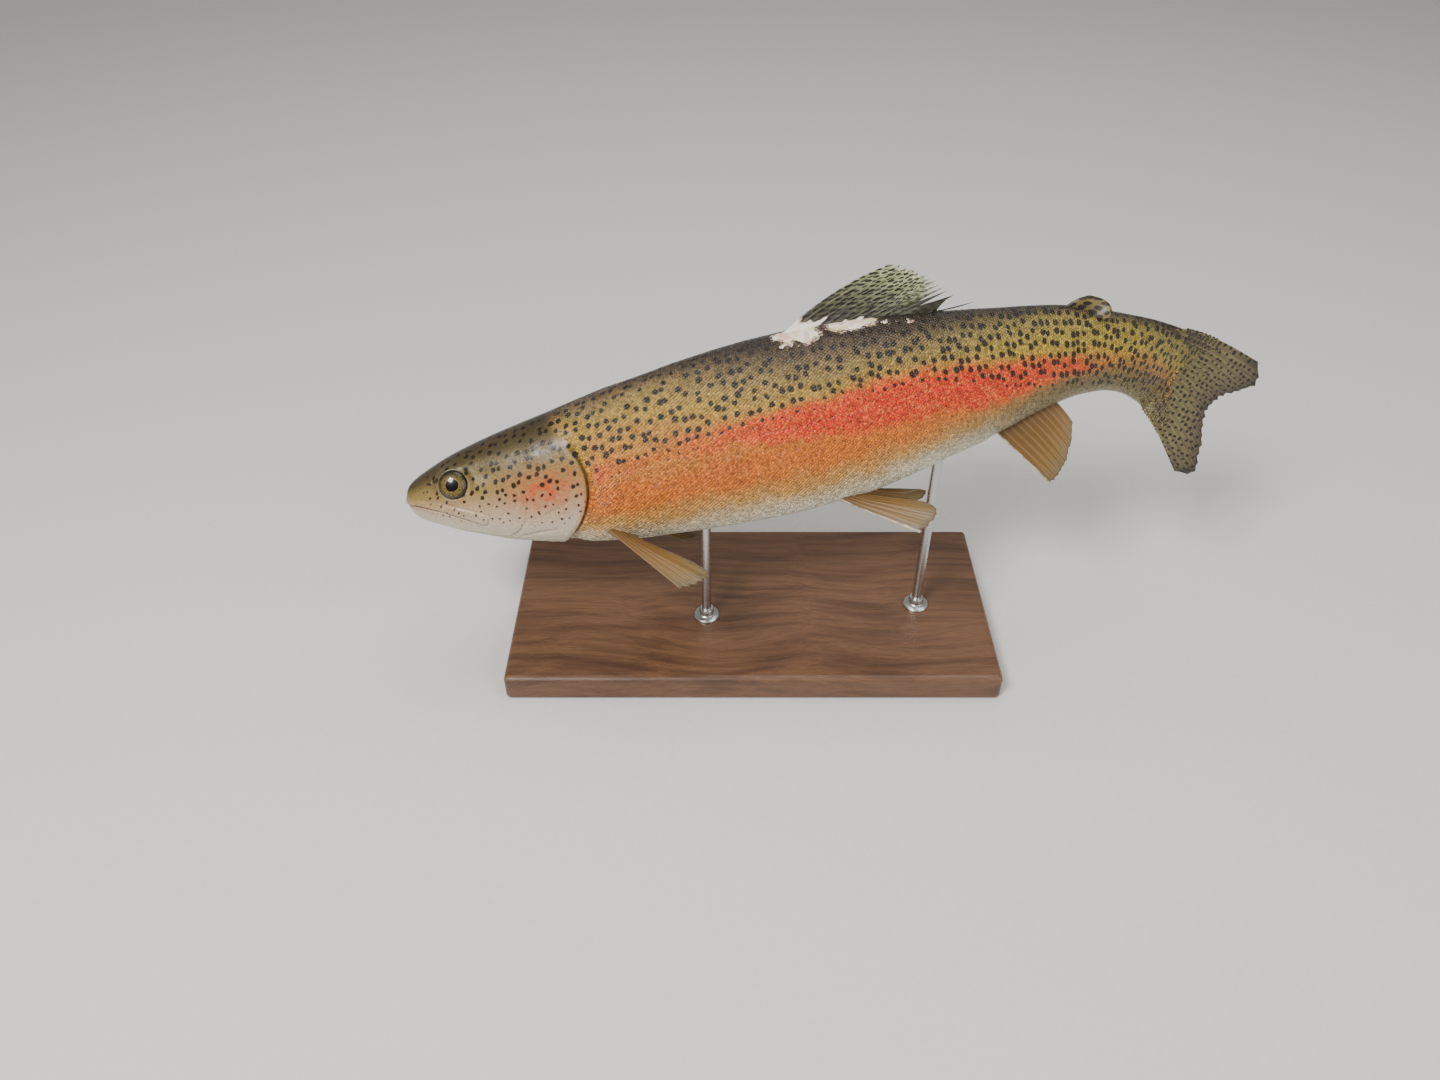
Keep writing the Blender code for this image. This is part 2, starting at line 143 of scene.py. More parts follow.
def smooth_curve(at, knots, values):
    """A curve through the knots that doesn't overshoot between them."""
    step = np.diff(knots)
    slope = np.diff(values) / step
    same_way = slope[:-1] * slope[1:] > 0.0
    mean = 2.0 * slope[:-1] * slope[1:] / np.where(same_way, slope[:-1] + slope[1:], 1.0)
    tangent = np.array([1.4 * slope[0], *np.where(same_way, mean, 0.0), slope[-1]])
    k = np.clip(np.searchsorted(knots, at) - 1, 0, len(step) - 1)
    t = np.clip((at - knots[k]) / step[k], 0.0, 1.0)
    pull = t * (1.0 - t) * step[k] * ((1.0 - t) * tangent[k] - t * tangent[k + 1])
    return values[k] + (values[k + 1] - values[k]) * ease(0.0, 1.0, t) + pull


def outline(x):
    """The back, belly and half width of the body, in mm, at a distance behind the snout."""
    place, *shapes = np.array(list(STATIONS.values())).T
    return [smooth_curve(x / LENGTH, place, shape) * LENGTH for shape in shapes]


def section(x, angle, width_share=1.0, size_share=1.0):
    """Points of the body's surface, at distances along it and at angles round it from the back."""
    back, belly, half_width = outline(x)
    across, height = (
        np.sign(wave) * np.abs(wave) ** (2.0 / FULLNESS) for wave in (np.sin(angle), np.cos(angle))
    )
    y = half_width * width_share * size_share * across
    z = (back + belly) / 2.0 + (back - belly) / 2.0 * size_share * height
    return np.stack(np.broadcast_arrays(x, y, z), axis=-1)


# The backbone is moved so that the body's form fills the same box as its solids
SPINE = backbone()
form = section(np.linspace(0.0, LENGTH, 227)[:, None], np.linspace(0.0, 2.0 * math.pi, 97))
form = bend(form).reshape(-1, 3)
corners = np.array([[tuple(corner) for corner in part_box(node)] for node in FLESH])
solid_middle = (corners[:, 0].min(axis=0) + corners[:, 1].max(axis=0)) / 2.0
SPINE[1][:] += (solid_middle - (form.min(axis=0) + form.max(axis=0)) / 2.0) / MM


# ---------------------------------------------------------------------------------------------------------
# The skin
#
# One skin covers head, trunk and tail without a seam. On the head it is bare and shows the bones under it:
# the long upper jaw bone, the cheek, the gill cover with its plates, and the fine rays of the throat.

ROUND = 256  # columns of the skin's grid, evenly spaced round each ring
HALF = ROUND // 2
SNOUT_CAP = 3.2  # how far back the snout is rounded off
TAIL_CAP = 17.0
SCALE_BED = 0.45  # the skin under the scales, below the outline
BARE_BED = 0.28  # the skin of the head, below the outline

EYE_PLACE = (0.070 * LENGTH, 0.017 * LENGTH)
EYE_TILT = 14.0
EYE_SUNK = 2.3  # the middle of the eye below the skin
EYE_OPENING = 7.7  # radius of the rim round the eye
EYE_SNAP = 0.30  # points of the skin this near the rim are moved on to it
EYE_CUP = 3.2  # how far behind the middle of the eye the skin closes
EYE_LIP = 2.0  # and how far in front of it the rim stands

# Seen from the side. The hollows and rises of the face: height, middle, half length and half height
FACE = (
    (-1.25, 19.0, 3.0, 9.0, 5.5), (-0.95, 50.0, 12.0, 10.0, 5.0), (-0.85, 52.0, -7.0, 11.0, 8.0),
    (-0.75, 12.0, 9.0, 10.0, 3.0), (0.24, 31.0, 17.6, 10.0, 1.7),
)
JAW_BONE = ((8.0, -1.0), (20.0, -4.2), (32.0, -8.8), (43.5, -14.4))
OVER_BONE = ((27.0, -4.6), (36.0, -8.2), (43.0, -11.4))
MOUTH_END = 43.0
MOUTH = ((-8.0, -2.4), (0.0, -2.6), (9.0, -3.9), (20.0, -7.0), (32.0, -12.2), (MOUTH_END, -18.2))
CHEEK_EDGE = ((58.0, 15.0), (66.0, 9.0), (70.0, -4.0), (68.0, -17.0), (60.0, -25.5), (50.0, -28.5))
# The edges of the gill cover's plates: raised side, height, depth of the groove, width, then the line
PLATES = (
    (-1.0, 0.34, 0.60, 0.90, CHEEK_EDGE),
    (1.0, 0.24, 0.55, 0.85, ((69.5, -17.0), (80.0, -15.5), (92.0, -11.5), (101.5, -6.0))),
    (1.0, 0.20, 0.60, 0.85, ((54.0, -29.5), (64.0, -27.8), (75.0, -26.5), (88.0, -26.5))),
)
CREASES = (((38.5, -3.5), (47.0, -8.5), (57.0, -15.5)), ((41.5, 3.0), (50.0, 2.0), (62.0, 0.5)))
NOSTRILS = ((17.0, 9.6, 0.75), (20.0, 10.7, 0.90))  # place, height and radius of each opening
BLUSH = (84.0, -2.0, 19.0, 11.0)  # on the gill cover: middle, half length and half height
GILL_EDGE, GILL_CURVE = 0.238, 6.6  # the free edge of the gill cover at mid height, and how it curves
THROAT_EDGE = ((7.0, 0.8), (16.0, 4.6), (30.0, 8.6), (46.0, 11.0), (54.0, 11.5))  # seen from below
THROAT_RAY = 2.4  # from one ray of the throat to the next
VENT = 0.722 * LENGTH

# The raw patches: place, arc from the ridge, half length and half width, then the small flecks round them
SORES = ((0.530, 5.5, 14.0, 12.0), (0.593, 4.5, 15.0, 9.0))
FLECKS = (
    (0.508, 16.0, 1.5), (0.514, 18.5, 1.2), (0.521, 15.5, 1.7), (0.528, 17.5, 1.0), (0.553, 13.5, 1.5),
    (0.562, 17.0, 0.9), (0.634, 8.6, 2.4), (0.648, 9.4, 1.5), (0.662, 9.8, 2.0), (0.545, 19.0, 0.9),
)


def from_line(first, second, corners):
    """Distance of points of a flat view from a smooth line, their side of it, and the share along it."""
    corners = np.array(corners)
    ends = np.vstack([2 * corners[0] - corners[1], corners, 2 * corners[-1] - corners[-2]])
    t = np.linspace(0.0, 1.0, 10, endpoint=False)[:, None]
    spans = [
        0.5 * (2 * b + (c - a) * t + (2 * a - 5 * b + 4 * c - d) * t**2 + (3 * b - a - 3 * c + d) * t**3)
        for a, b, c, d in zip(ends, ends[1:], ends[2:], ends[3:])
    ]
    line = np.vstack([*spans, corners[-1:]])
    nearest = np.full(first.shape, np.inf)
    side, share = np.zeros(first.shape), np.zeros(first.shape)
    for index, (start, end) in enumerate(zip(line, line[1:])):
        way = end - start
        du, dv = first - start[0], second - start[1]
        t = np.clip((du * way[0] + dv * way[1]) / np.hypot(*way) ** 2, 0.0, 1.0)
        gap = np.hypot(du - t * way[0], dv - t * way[1])
        closer = gap < nearest
        nearest = np.where(closer, gap, nearest)
        side = np.where(closer, np.sign(way[0] * dv - way[1] * du), side)
        share = np.where(closer, (index + t) / (len(line) - 1), share)
    return nearest, side, share


def gill_edge(z):
    """How far back the free edge of the gill cover reaches at a height."""
    return (GILL_EDGE - GILL_CURVE * (z / LENGTH) ** 2) * LENGTH


def waves(first, second, length, seed):
    """Smooth unevenness between about -1 and 1, whose swells are about a length across."""
    chance = np.random.default_rng(seed)
    total = np.zeros(np.broadcast(first, second).shape)
    for _ in range(7):
        way = chance.uniform(0.0, 2.0 * math.pi)
        pitch = 2.0 * math.pi / (length * chance.uniform(0.7, 1.7))
        total += np.sin((first * math.cos(way) + second * math.sin(way)) * pitch + chance.uniform(0.0, 6.3))
    return total / 3.5


def skin_rings():
    """Distances of the rings behind the snout: closest over the rounded snout and the head."""
    cap = SNOUT_CAP * (1.0 - np.cos(np.linspace(0.04, math.pi / 2.0, 12)))
    spans = ((SNOUT_CAP, 50.0, 136), (50.0, 113.0, 104), (113.0, LENGTH - TAIL_CAP, 122))
    between = [np.linspace(start, end, count)[1:] for start, end, count in spans]
    stump = LENGTH - TAIL_CAP + TAIL_CAP * np.sin(np.linspace(0.0, math.pi / 2.0, 10))[1:]
    return np.concatenate([cap, *between, stump])


def even_rings():
    """The body's surface with columns evenly spaced round each ring, and half of each ring's length."""
    fine = np.linspace(0.0, math.pi, 721)
    grid, half_round = np.empty((len(rings), ROUND, 3)), np.empty(len(rings))
    for index, x in enumerate(rings):
        size = math.sqrt(1.0 - max(0.0, 1.0 - x / SNOUT_CAP) ** 2)
        width = math.sqrt(max(0.0, 1.0 - max(0.0, 1.0 - (LENGTH - x) / TAIL_CAP) ** 2)) * 0.9 + 0.1
        side = section(np.full(fine.shape, x), fine, width, size)
        arc = np.concatenate([[0.0], np.cumsum(np.linalg.norm(np.diff(side, axis=0), axis=1))])
        half_round[index] = arc[-1]
        even = np.linspace(0.0, arc[-1], HALF + 1)
        right = np.stack([np.interp(even, arc, column) for column in side.T], axis=1)
        grid[index] = np.vstack([right, right[HALF - 1 : 0 : -1] * (1.0, -1.0, 1.0)])
    return grid, half_round


def grid_normals(grid, closed=True):
    """Unit normals of a grid of points: outwards from closed rings, else to one side of the sheet."""
    if closed:
        across = np.roll(grid, -1, axis=1) - np.roll(grid, 1, axis=1)
    else:
        across = np.gradient(grid, axis=1)
    normal = np.cross(across, np.gradient(grid, axis=0))
    normal = normal / np.maximum(np.linalg.norm(normal, axis=-1, keepdims=True), 1e-12)
    inwards = closed and np.mean(np.sum(normal * (grid - grid.mean(axis=1, keepdims=True)), axis=-1)) < 0.0
    return -normal if inwards else normal


def eye_axes(sign):
    """The middle of an eye, the way it looks, and its own up."""
    back, belly, half_width = np.array(outline(np.array([EYE_PLACE[0]])))[:, 0]
    share = abs(EYE_PLACE[1] - (back + belly) / 2.0) / ((back - belly) / 2.0)
    skin_side = half_width * (1.0 - share**FULLNESS) ** (1.0 / FULLNESS)
    middle = np.array([EYE_PLACE[0], sign * (skin_side - EYE_SUNK), EYE_PLACE[1]])
    tilt = math.radians(EYE_TILT)
    look = np.array([0.0, sign * math.cos(tilt), math.sin(tilt)])
    over = np.array([0.0, -sign * math.sin(tilt), math.cos(tilt)])
    return middle, look, over


def face_form(x, z):
    """The hollow before the eye, the brow over it, and the flatter temple and cheek behind it."""
    return sum(
        height * hump(np.hypot((x - at_x) / half_length, (z - at_z) / half_height), 1.0)
        for height, at_x, at_z, half_length, half_height in FACE
    )


def jaws(x, z):
    """The upper jaw bone, the slit of the mouth, and the lower jaw that closes inside it."""
    distance, _, share = from_line(x, z, JAW_BONE)
    outside = distance - (1.3 + 2.2 * share)
    rise = 0.50 * fade(-0.6, 0.5, outside) - 0.45 * hump(outside - 0.75, 0.55)
    distance, _, share = from_line(x, z, OVER_BONE)
    rise += 0.22 * fade(0.2, 0.9, distance - 0.5 - 1.1 * share)
    distance, side, _ = from_line(x, z, MOUTH)
    open_to = fade(MOUTH_END - 1.5, MOUTH_END + 2.5, x)
    below, above = distance * (side < 0), distance * (side > 0)
    slit = -1.35 * hump(distance, 0.72) - 0.95 * ease(0.0, 0.6, below) * fade(1.5, 10.0, below)
    upper_lip = 0.25 * hump(above - 1.0, 0.5) * (side > 0) * fade(6.0, 11.0, x)
    lips = 0.35 * hump(below - 1.5, 0.6) * (below > 0) + upper_lip
    # The second value marks the mouth's slit, where the skin's colour gets a painted shade
    return rise + (slit + lips) * open_to, hump(distance, 0.50) * open_to


def gill_cover(x, z):
    """The plates of the gill cover and cheek, and the soft free edge over the gill opening."""
    rise = 0.10 * waves(x, z, 12.0, 8) * ease(60.0, 72.0, x)
    for way, raised, groove, width, line in PLATES:
        distance, side, share = from_line(x, z, line)
        signed = distance * side * way
        lifted = raised * ease(-width, width, signed) * hump(np.maximum(signed, 0.0), 9.0)
        faint_ends = ease(0.10, 0.50, share) * fade(0.75, 1.0, share)
        rise += (lifted - groove * hump(signed + width, width)) * faint_ends
    for line in CREASES:
        distance, _, share = from_line(x, z, line)
        rise -= 0.18 * hump(distance, 1.0) * ease(0.0, 0.3, share) * fade(0.6, 1.0, share)
    behind = x - gill_edge(z)
    opening = fade(15.0, 21.0, z)
    flap = -0.42 * ease(-3.2, -2.2, behind) - 0.35 * ease(-0.9, -0.1, behind)
    sunk = -2.1 * fade(0.5, 20.0, behind) - 0.6 * hump(behind - 0.5, 0.9)
    rise = rise * (behind < -1.0) + np.where(behind < 0.0, flap, sunk) * opening
    # The second value marks the free edge, where the skin's colour gets a painted shade under it
    return rise, hump(behind - 0.4, 0.9) * opening, behind


def throat(x, y, z, from_belly, turned_down):
    """The groove inside each half of the lower jaw, and the thin rays that spread the gill skin."""
    distance, side, _ = from_line(x, np.abs(y), THROAT_EDGE)
    rise = (-0.65 * hump(distance, 0.8) + 0.25 * hump(distance - 1.8, 1.2) * (side > 0)) * turned_down
    spread = from_belly - 1.2 - 0.16 * (x - 40.0)
    window = ease(46.0, 54.0, x) * fade(-3.0, 0.5, x - gill_edge(z))
    window = window * ease(0.5, 2.0, from_belly) * fade(14.0, 20.0, from_belly)
    return rise + 0.36 * np.sin(spread * 2.0 * math.pi / THROAT_RAY) * window


def nostrils(x, z):
    """The rim and pit of each opening, and how deep inside a pit each point lies."""
    rise, hollow = 0.0, 0.0
    for place, height, radius in NOSTRILS:
        away = np.hypot(x - place, z - height)
        rise += 0.20 * hump(away - radius * 1.5, 0.5) - 1.2 * hump(away, radius)
        # How deep inside a pit each point lies sets the painted shade in the nostril
        hollow += hump(away, radius * 0.85)
    return rise, hollow


def eye_rim(grid):
    """How far to move the skin along each eye's axis: a cup behind the eye and a fine round lip."""
    moved, socket_shade = 0.0, 0.0
    for sign in (-1.0, 1.0):
        middle, look, _ = eye_axes(sign)
        away = grid - middle
        level = away @ look
        in_plane = away - level[..., None] * look
        radius = np.linalg.norm(in_plane, axis=-1)
        past_rim = radius - EYE_OPENING
        same_side = grid[..., 1] * sign > 2.0
        wanted = np.where(past_rim < -EYE_SNAP, -EYE_CUP, EYE_LIP + 0.22 * hump(past_rim - 0.9, 0.9))
        along_look = (wanted - level) * fade(0.8, 5.0, past_rim)
        on_rim = np.abs(past_rim) < EYE_SNAP
        along_look -= 0.9 * on_rim + 0.30 * hump(past_rim - 3.6, 1.0) * (away[..., 2] < 3.0)
        snapped = (-past_rim * on_rim / np.maximum(radius, 0.1))[..., None] * in_plane
        moved += (along_look[..., None] * look + snapped) * same_side[..., None]
        # Inside the rim, where the skin's colour gets a painted shade
        socket_shade += fade(0.1, 1.2, past_rim) * same_side
    return moved, socket_shade


def sore_field(x, arc):
    """Above 0.5 inside the two raw patches where scales are lost beside the back fin, on the left side."""
    field = np.zeros(np.broadcast(x, arc).shape)
    for index, (place, off_ridge, half_length, half_width) in enumerate(SORES):
        away = np.hypot((x - place * LENGTH) / half_length, (arc - off_ridge) / half_width)
        ragged = 0.16 * waves(x, arc, 11.0, 31 + index) + 0.08 * waves(x, arc, 5.0, 41 + index)
        field = np.maximum(field, 1.5 - away + ragged)
    for place, off_ridge, size in FLECKS:
        field = np.maximum(field, 1.5 - np.hypot(x - place * LENGTH, arc - off_ridge) / size)
    return np.clip(field, 0.0, 1.5)


def in_scene(name, data):
    """A new object at the origin."""
    made = bpy.data.objects.new(name, data)
    bpy.context.scene.collection.objects.link(made)
    return made


def mesh_piece(name, points, faces):
    """An object with this closed mesh, smooth, with its faces turned outwards."""
    mesh = bpy.data.meshes.new(name)
    mesh.from_pydata(points.reshape(-1, 3).tolist(), [], faces)
    shape = bmesh.new()
    shape.from_mesh(mesh)
    bmesh.ops.recalc_face_normals(shape, faces=shape.faces)
    shape.to_mesh(mesh)
    shape.free()
    mesh.polygons.foreach_set("use_smooth", [True] * len(mesh.polygons))
    return in_scene(name, mesh)


def ring_faces(index, poles=()):
    """Quads between the closed rings of a grid of point numbers, and fans to a pole at each end."""
    after = np.roll(index, -1, axis=1)
    faces = np.stack([index[:-1], after[:-1], after[1:], index[1:]], axis=-1).reshape(-1, 4).tolist()
    for pole, first, second in zip(poles, (after[0], index[-1]), (index[0], after[-1])):
        faces += [(pole, a, b) for a, b in zip(first.tolist(), second.tolist())]
    return faces


def note(mesh, name, values):
    """Keeps a number or a vector for each point of a mesh, for its material to read."""
    values = np.asarray(values, np.float32)
    kind, key = ("FLOAT", "value") if values.ndim == 1 else ("FLOAT_VECTOR", "vector")
    mesh.attributes.new(name, kind, "POINT").data.foreach_set(key, values.ravel())


rings = skin_rings()
bare, half_round = even_rings()
normals = grid_normals(bare)
x, y, z = bare[..., 0], bare[..., 1], bare[..., 2]
column = np.arange(ROUND)
arc = np.minimum(column, ROUND - column) / HALF * half_round[:, None]

jaw_rise, mouth = jaws(x, z)
cover_rise, gill_slit_shade, behind_gills = gill_cover(x, z)
nostril_rise, nostril_shade = nostrils(x, z)
sore = sore_field(x, arc) * (y < 0.0)
on_trunk = ease(-2.0, 1.0, behind_gills)
facing_side = ease(0.25, 0.55, np.abs(normals[..., 1]))
face = fade(50.0, 58.0, x)
rise = -(BARE_BED * (1.0 - on_trunk) + SCALE_BED * on_trunk)
rise += jaw_rise * face * np.maximum(facing_side, fade(2.0, 9.0, x))
rise += (face_form(x, z) + nostril_rise) * facing_side
rise += cover_rise * np.where(behind_gills < -1.0, facing_side, 1.0)
rise += throat(x, y, z, half_round[:, None] - arc, ease(0.2, 0.7, -normals[..., 2])) * (behind_gills < 0.0)
rise += (0.22 * waves(x, arc, 4.0, 51) + 0.14 * waves(x, arc, 2.0, 52) - 0.20) * ease(0.45, 0.75, sore)
rise += (0.12 * waves(x, arc, 24.0, 5) - 0.22 * hump(arc - 0.47 * half_round[:, None], 2.5)) * on_trunk
vent_away = np.hypot(x - VENT, y)
rise += (0.5 * hump(vent_away - 2.6, 1.1) - 1.0 * hump(vent_away, 1.6)) * (normals[..., 2] < 0.0)
rim_move, eye_socket_shade = eye_rim(bare)
skin_grid = bare + normals * rise[..., None] * ease(0.0, 0.6, x)[..., None] + rim_move
skin_bent = bend(skin_grid)
skin_normals = grid_normals(skin_bent)

# Where the spots lie: a net whose meshes are this far apart, closer on the head and towards the tail
NET_PLACES = (0.0, 60.0, 120.0, 200.0, 300.0, 360.0, 452.0)
net_along = np.interp(rings, NET_PLACES, (4.4, 5.2, 5.9, 6.1, 4.9, 3.7, 3.1))
net_round = np.interp(rings, NET_PLACES, (4.4, 5.2, 5.9, 6.3, 6.0, 5.7, 4.6))
net_place = np.concatenate([[0.0], np.cumsum(np.diff(rings) / ((net_along[1:] + net_along[:-1]) / 2.0))])

# The red band along the flank: its places, how far down its middle is, half its width, and its strength
BAND = (
    (0.24, 0.34, 0.42, 0.50, 0.56, 0.62, 0.68, 0.72, 0.77, 0.82, 0.87, 0.93),
    (0.47, 0.45, 0.44, 0.46, 0.467, 0.475, 0.495, 0.52, 0.555, 0.58, 0.60, 0.60),
    (7.0, 8.5, 9.0, 9.5, 11.0, 12.8, 12.8, 12.0, 10.0, 7.0, 4.5, 3.0),
    (0.55, 0.42, 0.60, 0.88, 1.0, 1.0, 1.0, 1.0, 0.95, 0.75, 0.45, 0.0),
)
band_lines = [np.interp(rings / LENGTH, BAND[0], values) for values in BAND[1:]]

# How far down the side the spots of the back reach
SPOT_PLACES = (0.25, 0.42, 0.56, 0.66, 0.74, 0.80, 0.88)
SPOT_LOWEST = (0.42, 0.37, 0.34, 0.36, 0.47, 0.64, 0.80)


def sample(table, ring, column):
    """A table over the skin's grid, read between its rings and columns."""
    i = np.clip(np.floor(ring).astype(int), 0, table.shape[0] - 2)
    j = np.floor(column).astype(int)
    f, g = (ring - i)[..., None], (column - j)[..., None]
    j, k = j % ROUND, (j + 1) % ROUND
    near = table[i, j] * (1.0 - g) + table[i, k] * g
    far = table[i + 1, j] * (1.0 - g) + table[i + 1, k] * g
    return near * (1.0 - f) + far * f


def markings(ring, share, left):
    """The fields that colour skin and scales alike, at a ring of the grid and a share of the way down it."""
    x = np.interp(ring, np.arange(len(rings)), rings)
    half = np.interp(x, rings, half_round)
    arc = share * half
    s = x / LENGTH
    sign = 1.0 - 2.0 * left
    height = sample(bare[..., 2:3], ring, np.where(left > 0.5, ROUND - HALF * share, HALF * share))[..., 0]
    behind = x - gill_edge(height)
    pale_back = 0.13 * fade(0.30, 0.54, s) * fade(0.25, 0.55, share) * ease(-6.0, 10.0, behind)
    net = np.interp(x, rings, net_place) + 0.31 * sign
    mark = np.stack([net, sign * arc / np.interp(x, rings, net_round), share + pale_back], axis=-1)
    middle, reach, strength = (np.interp(x, rings, line) for line in band_lines)
    band = strength * fade(0.25, 1.85, np.abs(arc - middle * half) / reach) * ease(-1.0, 6.0, behind)
    low = np.interp(s, SPOT_PLACES, SPOT_LOWEST)
    spotting = 1.0 - 0.75 * ease(low, low + 0.10, share) - 0.25 * ease(low + 0.16, low + 0.30, share)
    spotting = spotting * (1.0 + 0.16 * ease(0.50, 0.72, s))
    on_head = fade(-4.0, 2.0, behind)
    head_spots = 1.0 - 0.45 * ease(0.40, 0.58, share) - 0.55 * ease(0.62, 0.80, share)
    spotting = spotting * (1.0 - on_head) + head_spots * ease(0.012, 0.05, s) * on_head
    blush_x, blush_z, half_length, half_height = BLUSH
    return {
        "mark": mark,
        "field": np.stack([band, sore_field(x, arc) * (left > 0.5), spotting], axis=-1),
        "tint": np.stack([on_head, ease(0.62, 0.84, s), np.zeros_like(x)], axis=-1),
        "blush": hump(x - blush_x, half_length) * hump(height - blush_z, half_height) * on_head,
    }


def unwrap(points_x, around):
    """A place on the flat unwrap of the skin: along it, and round it from the back."""
    return np.stack([points_x / (LENGTH * 1.04) + 0.01, around * 0.98 + 0.01], axis=-1)


tip, stump = len(rings) * ROUND, len(rings) * ROUND + 1
ends = bend(np.array([skin_grid[0].mean(axis=0), skin_grid[-1].mean(axis=0)]))
skin_index = np.arange(tip).reshape(-1, ROUND)
skin = mesh_piece("skin", np.vstack([skin_bent.reshape(-1, 3), ends]), ring_faces(skin_index, (tip, stump)))
ring_of, column_of = np.divmod(np.arange(tip), ROUND)
skin_share = np.minimum(column_of, ROUND - column_of) / HALF
marks = markings(ring_of, skin_share, (column_of > HALF).astype(float))
# Painted shade: the mouth's slit, the nostrils' pits, the gill cover's free edge and the cup inside each
# eye's rim are darkened in the colour
hollow_shade = mouth * face + nostril_shade * facing_side + gill_slit_shade + eye_socket_shade * 0.75
marks["tint"][:, 2] = np.clip(hollow_shade, 0.0, 1.0).ravel()
for name, values in marks.items():
    note(skin.data, name, np.concatenate([values, values[:1], values[-1:]]))

# The unwrap runs once round each ring, so a face over the seam along the back ends at the last column
loops = np.empty(len(skin.data.loops), np.int32)
skin.data.loops.foreach_get("vertex_index", loops)
loop_start = np.empty(len(skin.data.polygons), np.int32)
skin.data.polygons.foreach_get("loop_start", loop_start)
is_end = loops >= tip
loop_column = np.where(is_end, 0.0, loops % ROUND)
face_of_loop = np.searchsorted(loop_start, np.arange(len(loops)), side="right") - 1
widest = np.maximum.reduceat(loop_column, loop_start)[face_of_loop]
loop_column = np.where((loop_column < 1.0) & (widest > HALF), ROUND, loop_column)
loop_column = np.where(is_end, widest - 0.5, loop_column)
loop_x = np.append(rings[np.arange(tip) // ROUND], (0.0, LENGTH))[loops]
flat = unwrap(loop_x, loop_column / ROUND)
skin.data.uv_layers.new(name="OFBake").data.foreach_set("uv", flat.astype(np.float32).ravel())


# The skin's finish: living skin under a film of slime and water. Dark pigment cells make the back brown-olive
# and the spots black, red ones the side band, and guanine crystals the pale, silky belly.


def linear(colour):
    """A hex colour, as seen on a screen, turned to the linear values that light is reckoned in."""
    parts = [int(colour[start : start + 2], 16) / 255.0 for start in (1, 3, 5)]
    return (*[c / 12.92 if c <= 0.04045 else ((c + 0.055) / 1.055) ** 2.4 for c in parts], 1.0)


MODES = {
    "Math": "operation", "VectorMath": "operation", "MapRange": "interpolation_type",
    "Attribute": "attribute_name",
}


def add_node(tree, kind, *sources, stops=(), **settings):
    """Adds a node: its kind, and after a space its mode, which is a type of data unless MODES says otherwise.

    Its sources fill its sockets from the top, and those in a dictionary fill the ones that it names. A source
    is a node, one of its outputs, a hex colour or a plain value.
    """
    kind, _, mode = kind.partition(" ")
    made = tree.nodes.new(kind if "Node" in kind else f"ShaderNode{kind}")
    if mode:
        settings[MODES.get(kind, "data_type")] = mode
    for name, value in settings.items():
        setattr(made, name, value)
    sockets = [socket for socket in made.inputs if socket.enabled]
    named = sources[-1] if sources and isinstance(sources[-1], dict) else {}
    pairs = [*zip(sockets, sources), *((made.inputs[name], source) for name, source in named.items())]
    for socket, source in pairs:
        if isinstance(source, bpy.types.Node):
            source = next(output for output in source.outputs if output.enabled)
        if isinstance(source, bpy.types.NodeSocket):
            tree.links.new(source, socket)
        elif source is not named:
            socket.default_value = linear(source) if str(source).startswith("#") else source
    for index, (place, colour) in enumerate(stops):
        step = made.color_ramp.elements[index] if index < 2 else made.color_ramp.elements.new(place)
        step.position = place
        step.color = linear(colour)
    return made


def new_material(name):
    """An empty material, and what adds nodes to it."""
    material = bpy.data.materials.new(name)
    material.use_nodes = True
    material.node_tree.nodes.clear()
    return material, functools.partial(add_node, material.node_tree)


BACK_TO_BELLY = (
    (0.00, "#231b16"), (0.11, "#2f251c"), (0.19, "#54432a"), (0.28, "#846c34"), (0.38, "#a4812e"),
    (0.47, "#b37420"), (0.57, "#c2600c"), (0.66, "#bf6718"), (0.75, "#b48645"), (0.86, "#c4b99f"),
    (1.00, "#dad6ca"),
)
TAIL_BACK_TO_BELLY = (
    (0.00, "#2a241b"), (0.10, "#463c24"), (0.19, "#82722f"), (0.40, "#a0892c"), (0.54, "#a87424"),
    (0.66, "#7a5e2a"), (0.80, "#6a5b34"), (0.92, "#786c48"), (1.00, "#8b8060"),
)
HEAD_TO_THROAT = (
    (0.00, "#2a241a"), (0.20, "#453b22"), (0.32, "#6c5b2f"), (0.44, "#8d7442"), (0.56, "#a78a66"),
    (0.70, "#b5a38c"), (0.86, "#c4bba6"), (1.00, "#cec8b8"),
)
BAND_EDGE_TO_MIDDLE = ((0.15, "#b8741a"), (0.42, "#c9580e"), (0.66, "#d03c04"), (1.0, "#cc2600"))
SORE_EDGE_TO_MIDDLE = ((0.74, "#7c5f50"), (0.84, "#c9b8a8"), (1.05, "#ebe6da"), (1.35, "#e4dccb"))

# A noise has its place, its grains to the metre, its detail and its roughness. A range has its value, its
# limits and what they turn to.
colouring = bpy.data.node_groups.new("trout colouring", "ShaderNodeTree")
for name, kind in (("Colour", "Color"), ("Spot", "Float"), ("Sore", "Float"), ("Mottle", "Float")):
    colouring.interface.new_socket(name, in_out="OUTPUT", socket_type=f"NodeSocket{kind}")
add = functools.partial(add_node, colouring)
where = add("TexCoord").outputs["Object"]
mark_in, field_in, tint_in = (
    add(f"Attribute {name}").outputs["Vector"] for name in ("mark", "field", "tint")
)
red_in, sore_in, spots_in = add("SeparateXYZ", field_in).outputs
head_in, tail_in, hollow_shade_in = add("SeparateXYZ", tint_in).outputs
blush_in = add("Attribute blush").outputs["Fac"]
level = add("SeparateXYZ", mark_in).outputs["Z"]
mottle = add("TexNoise", where, 75.0, 4.0, 0.6)  # clouds 13 mm across
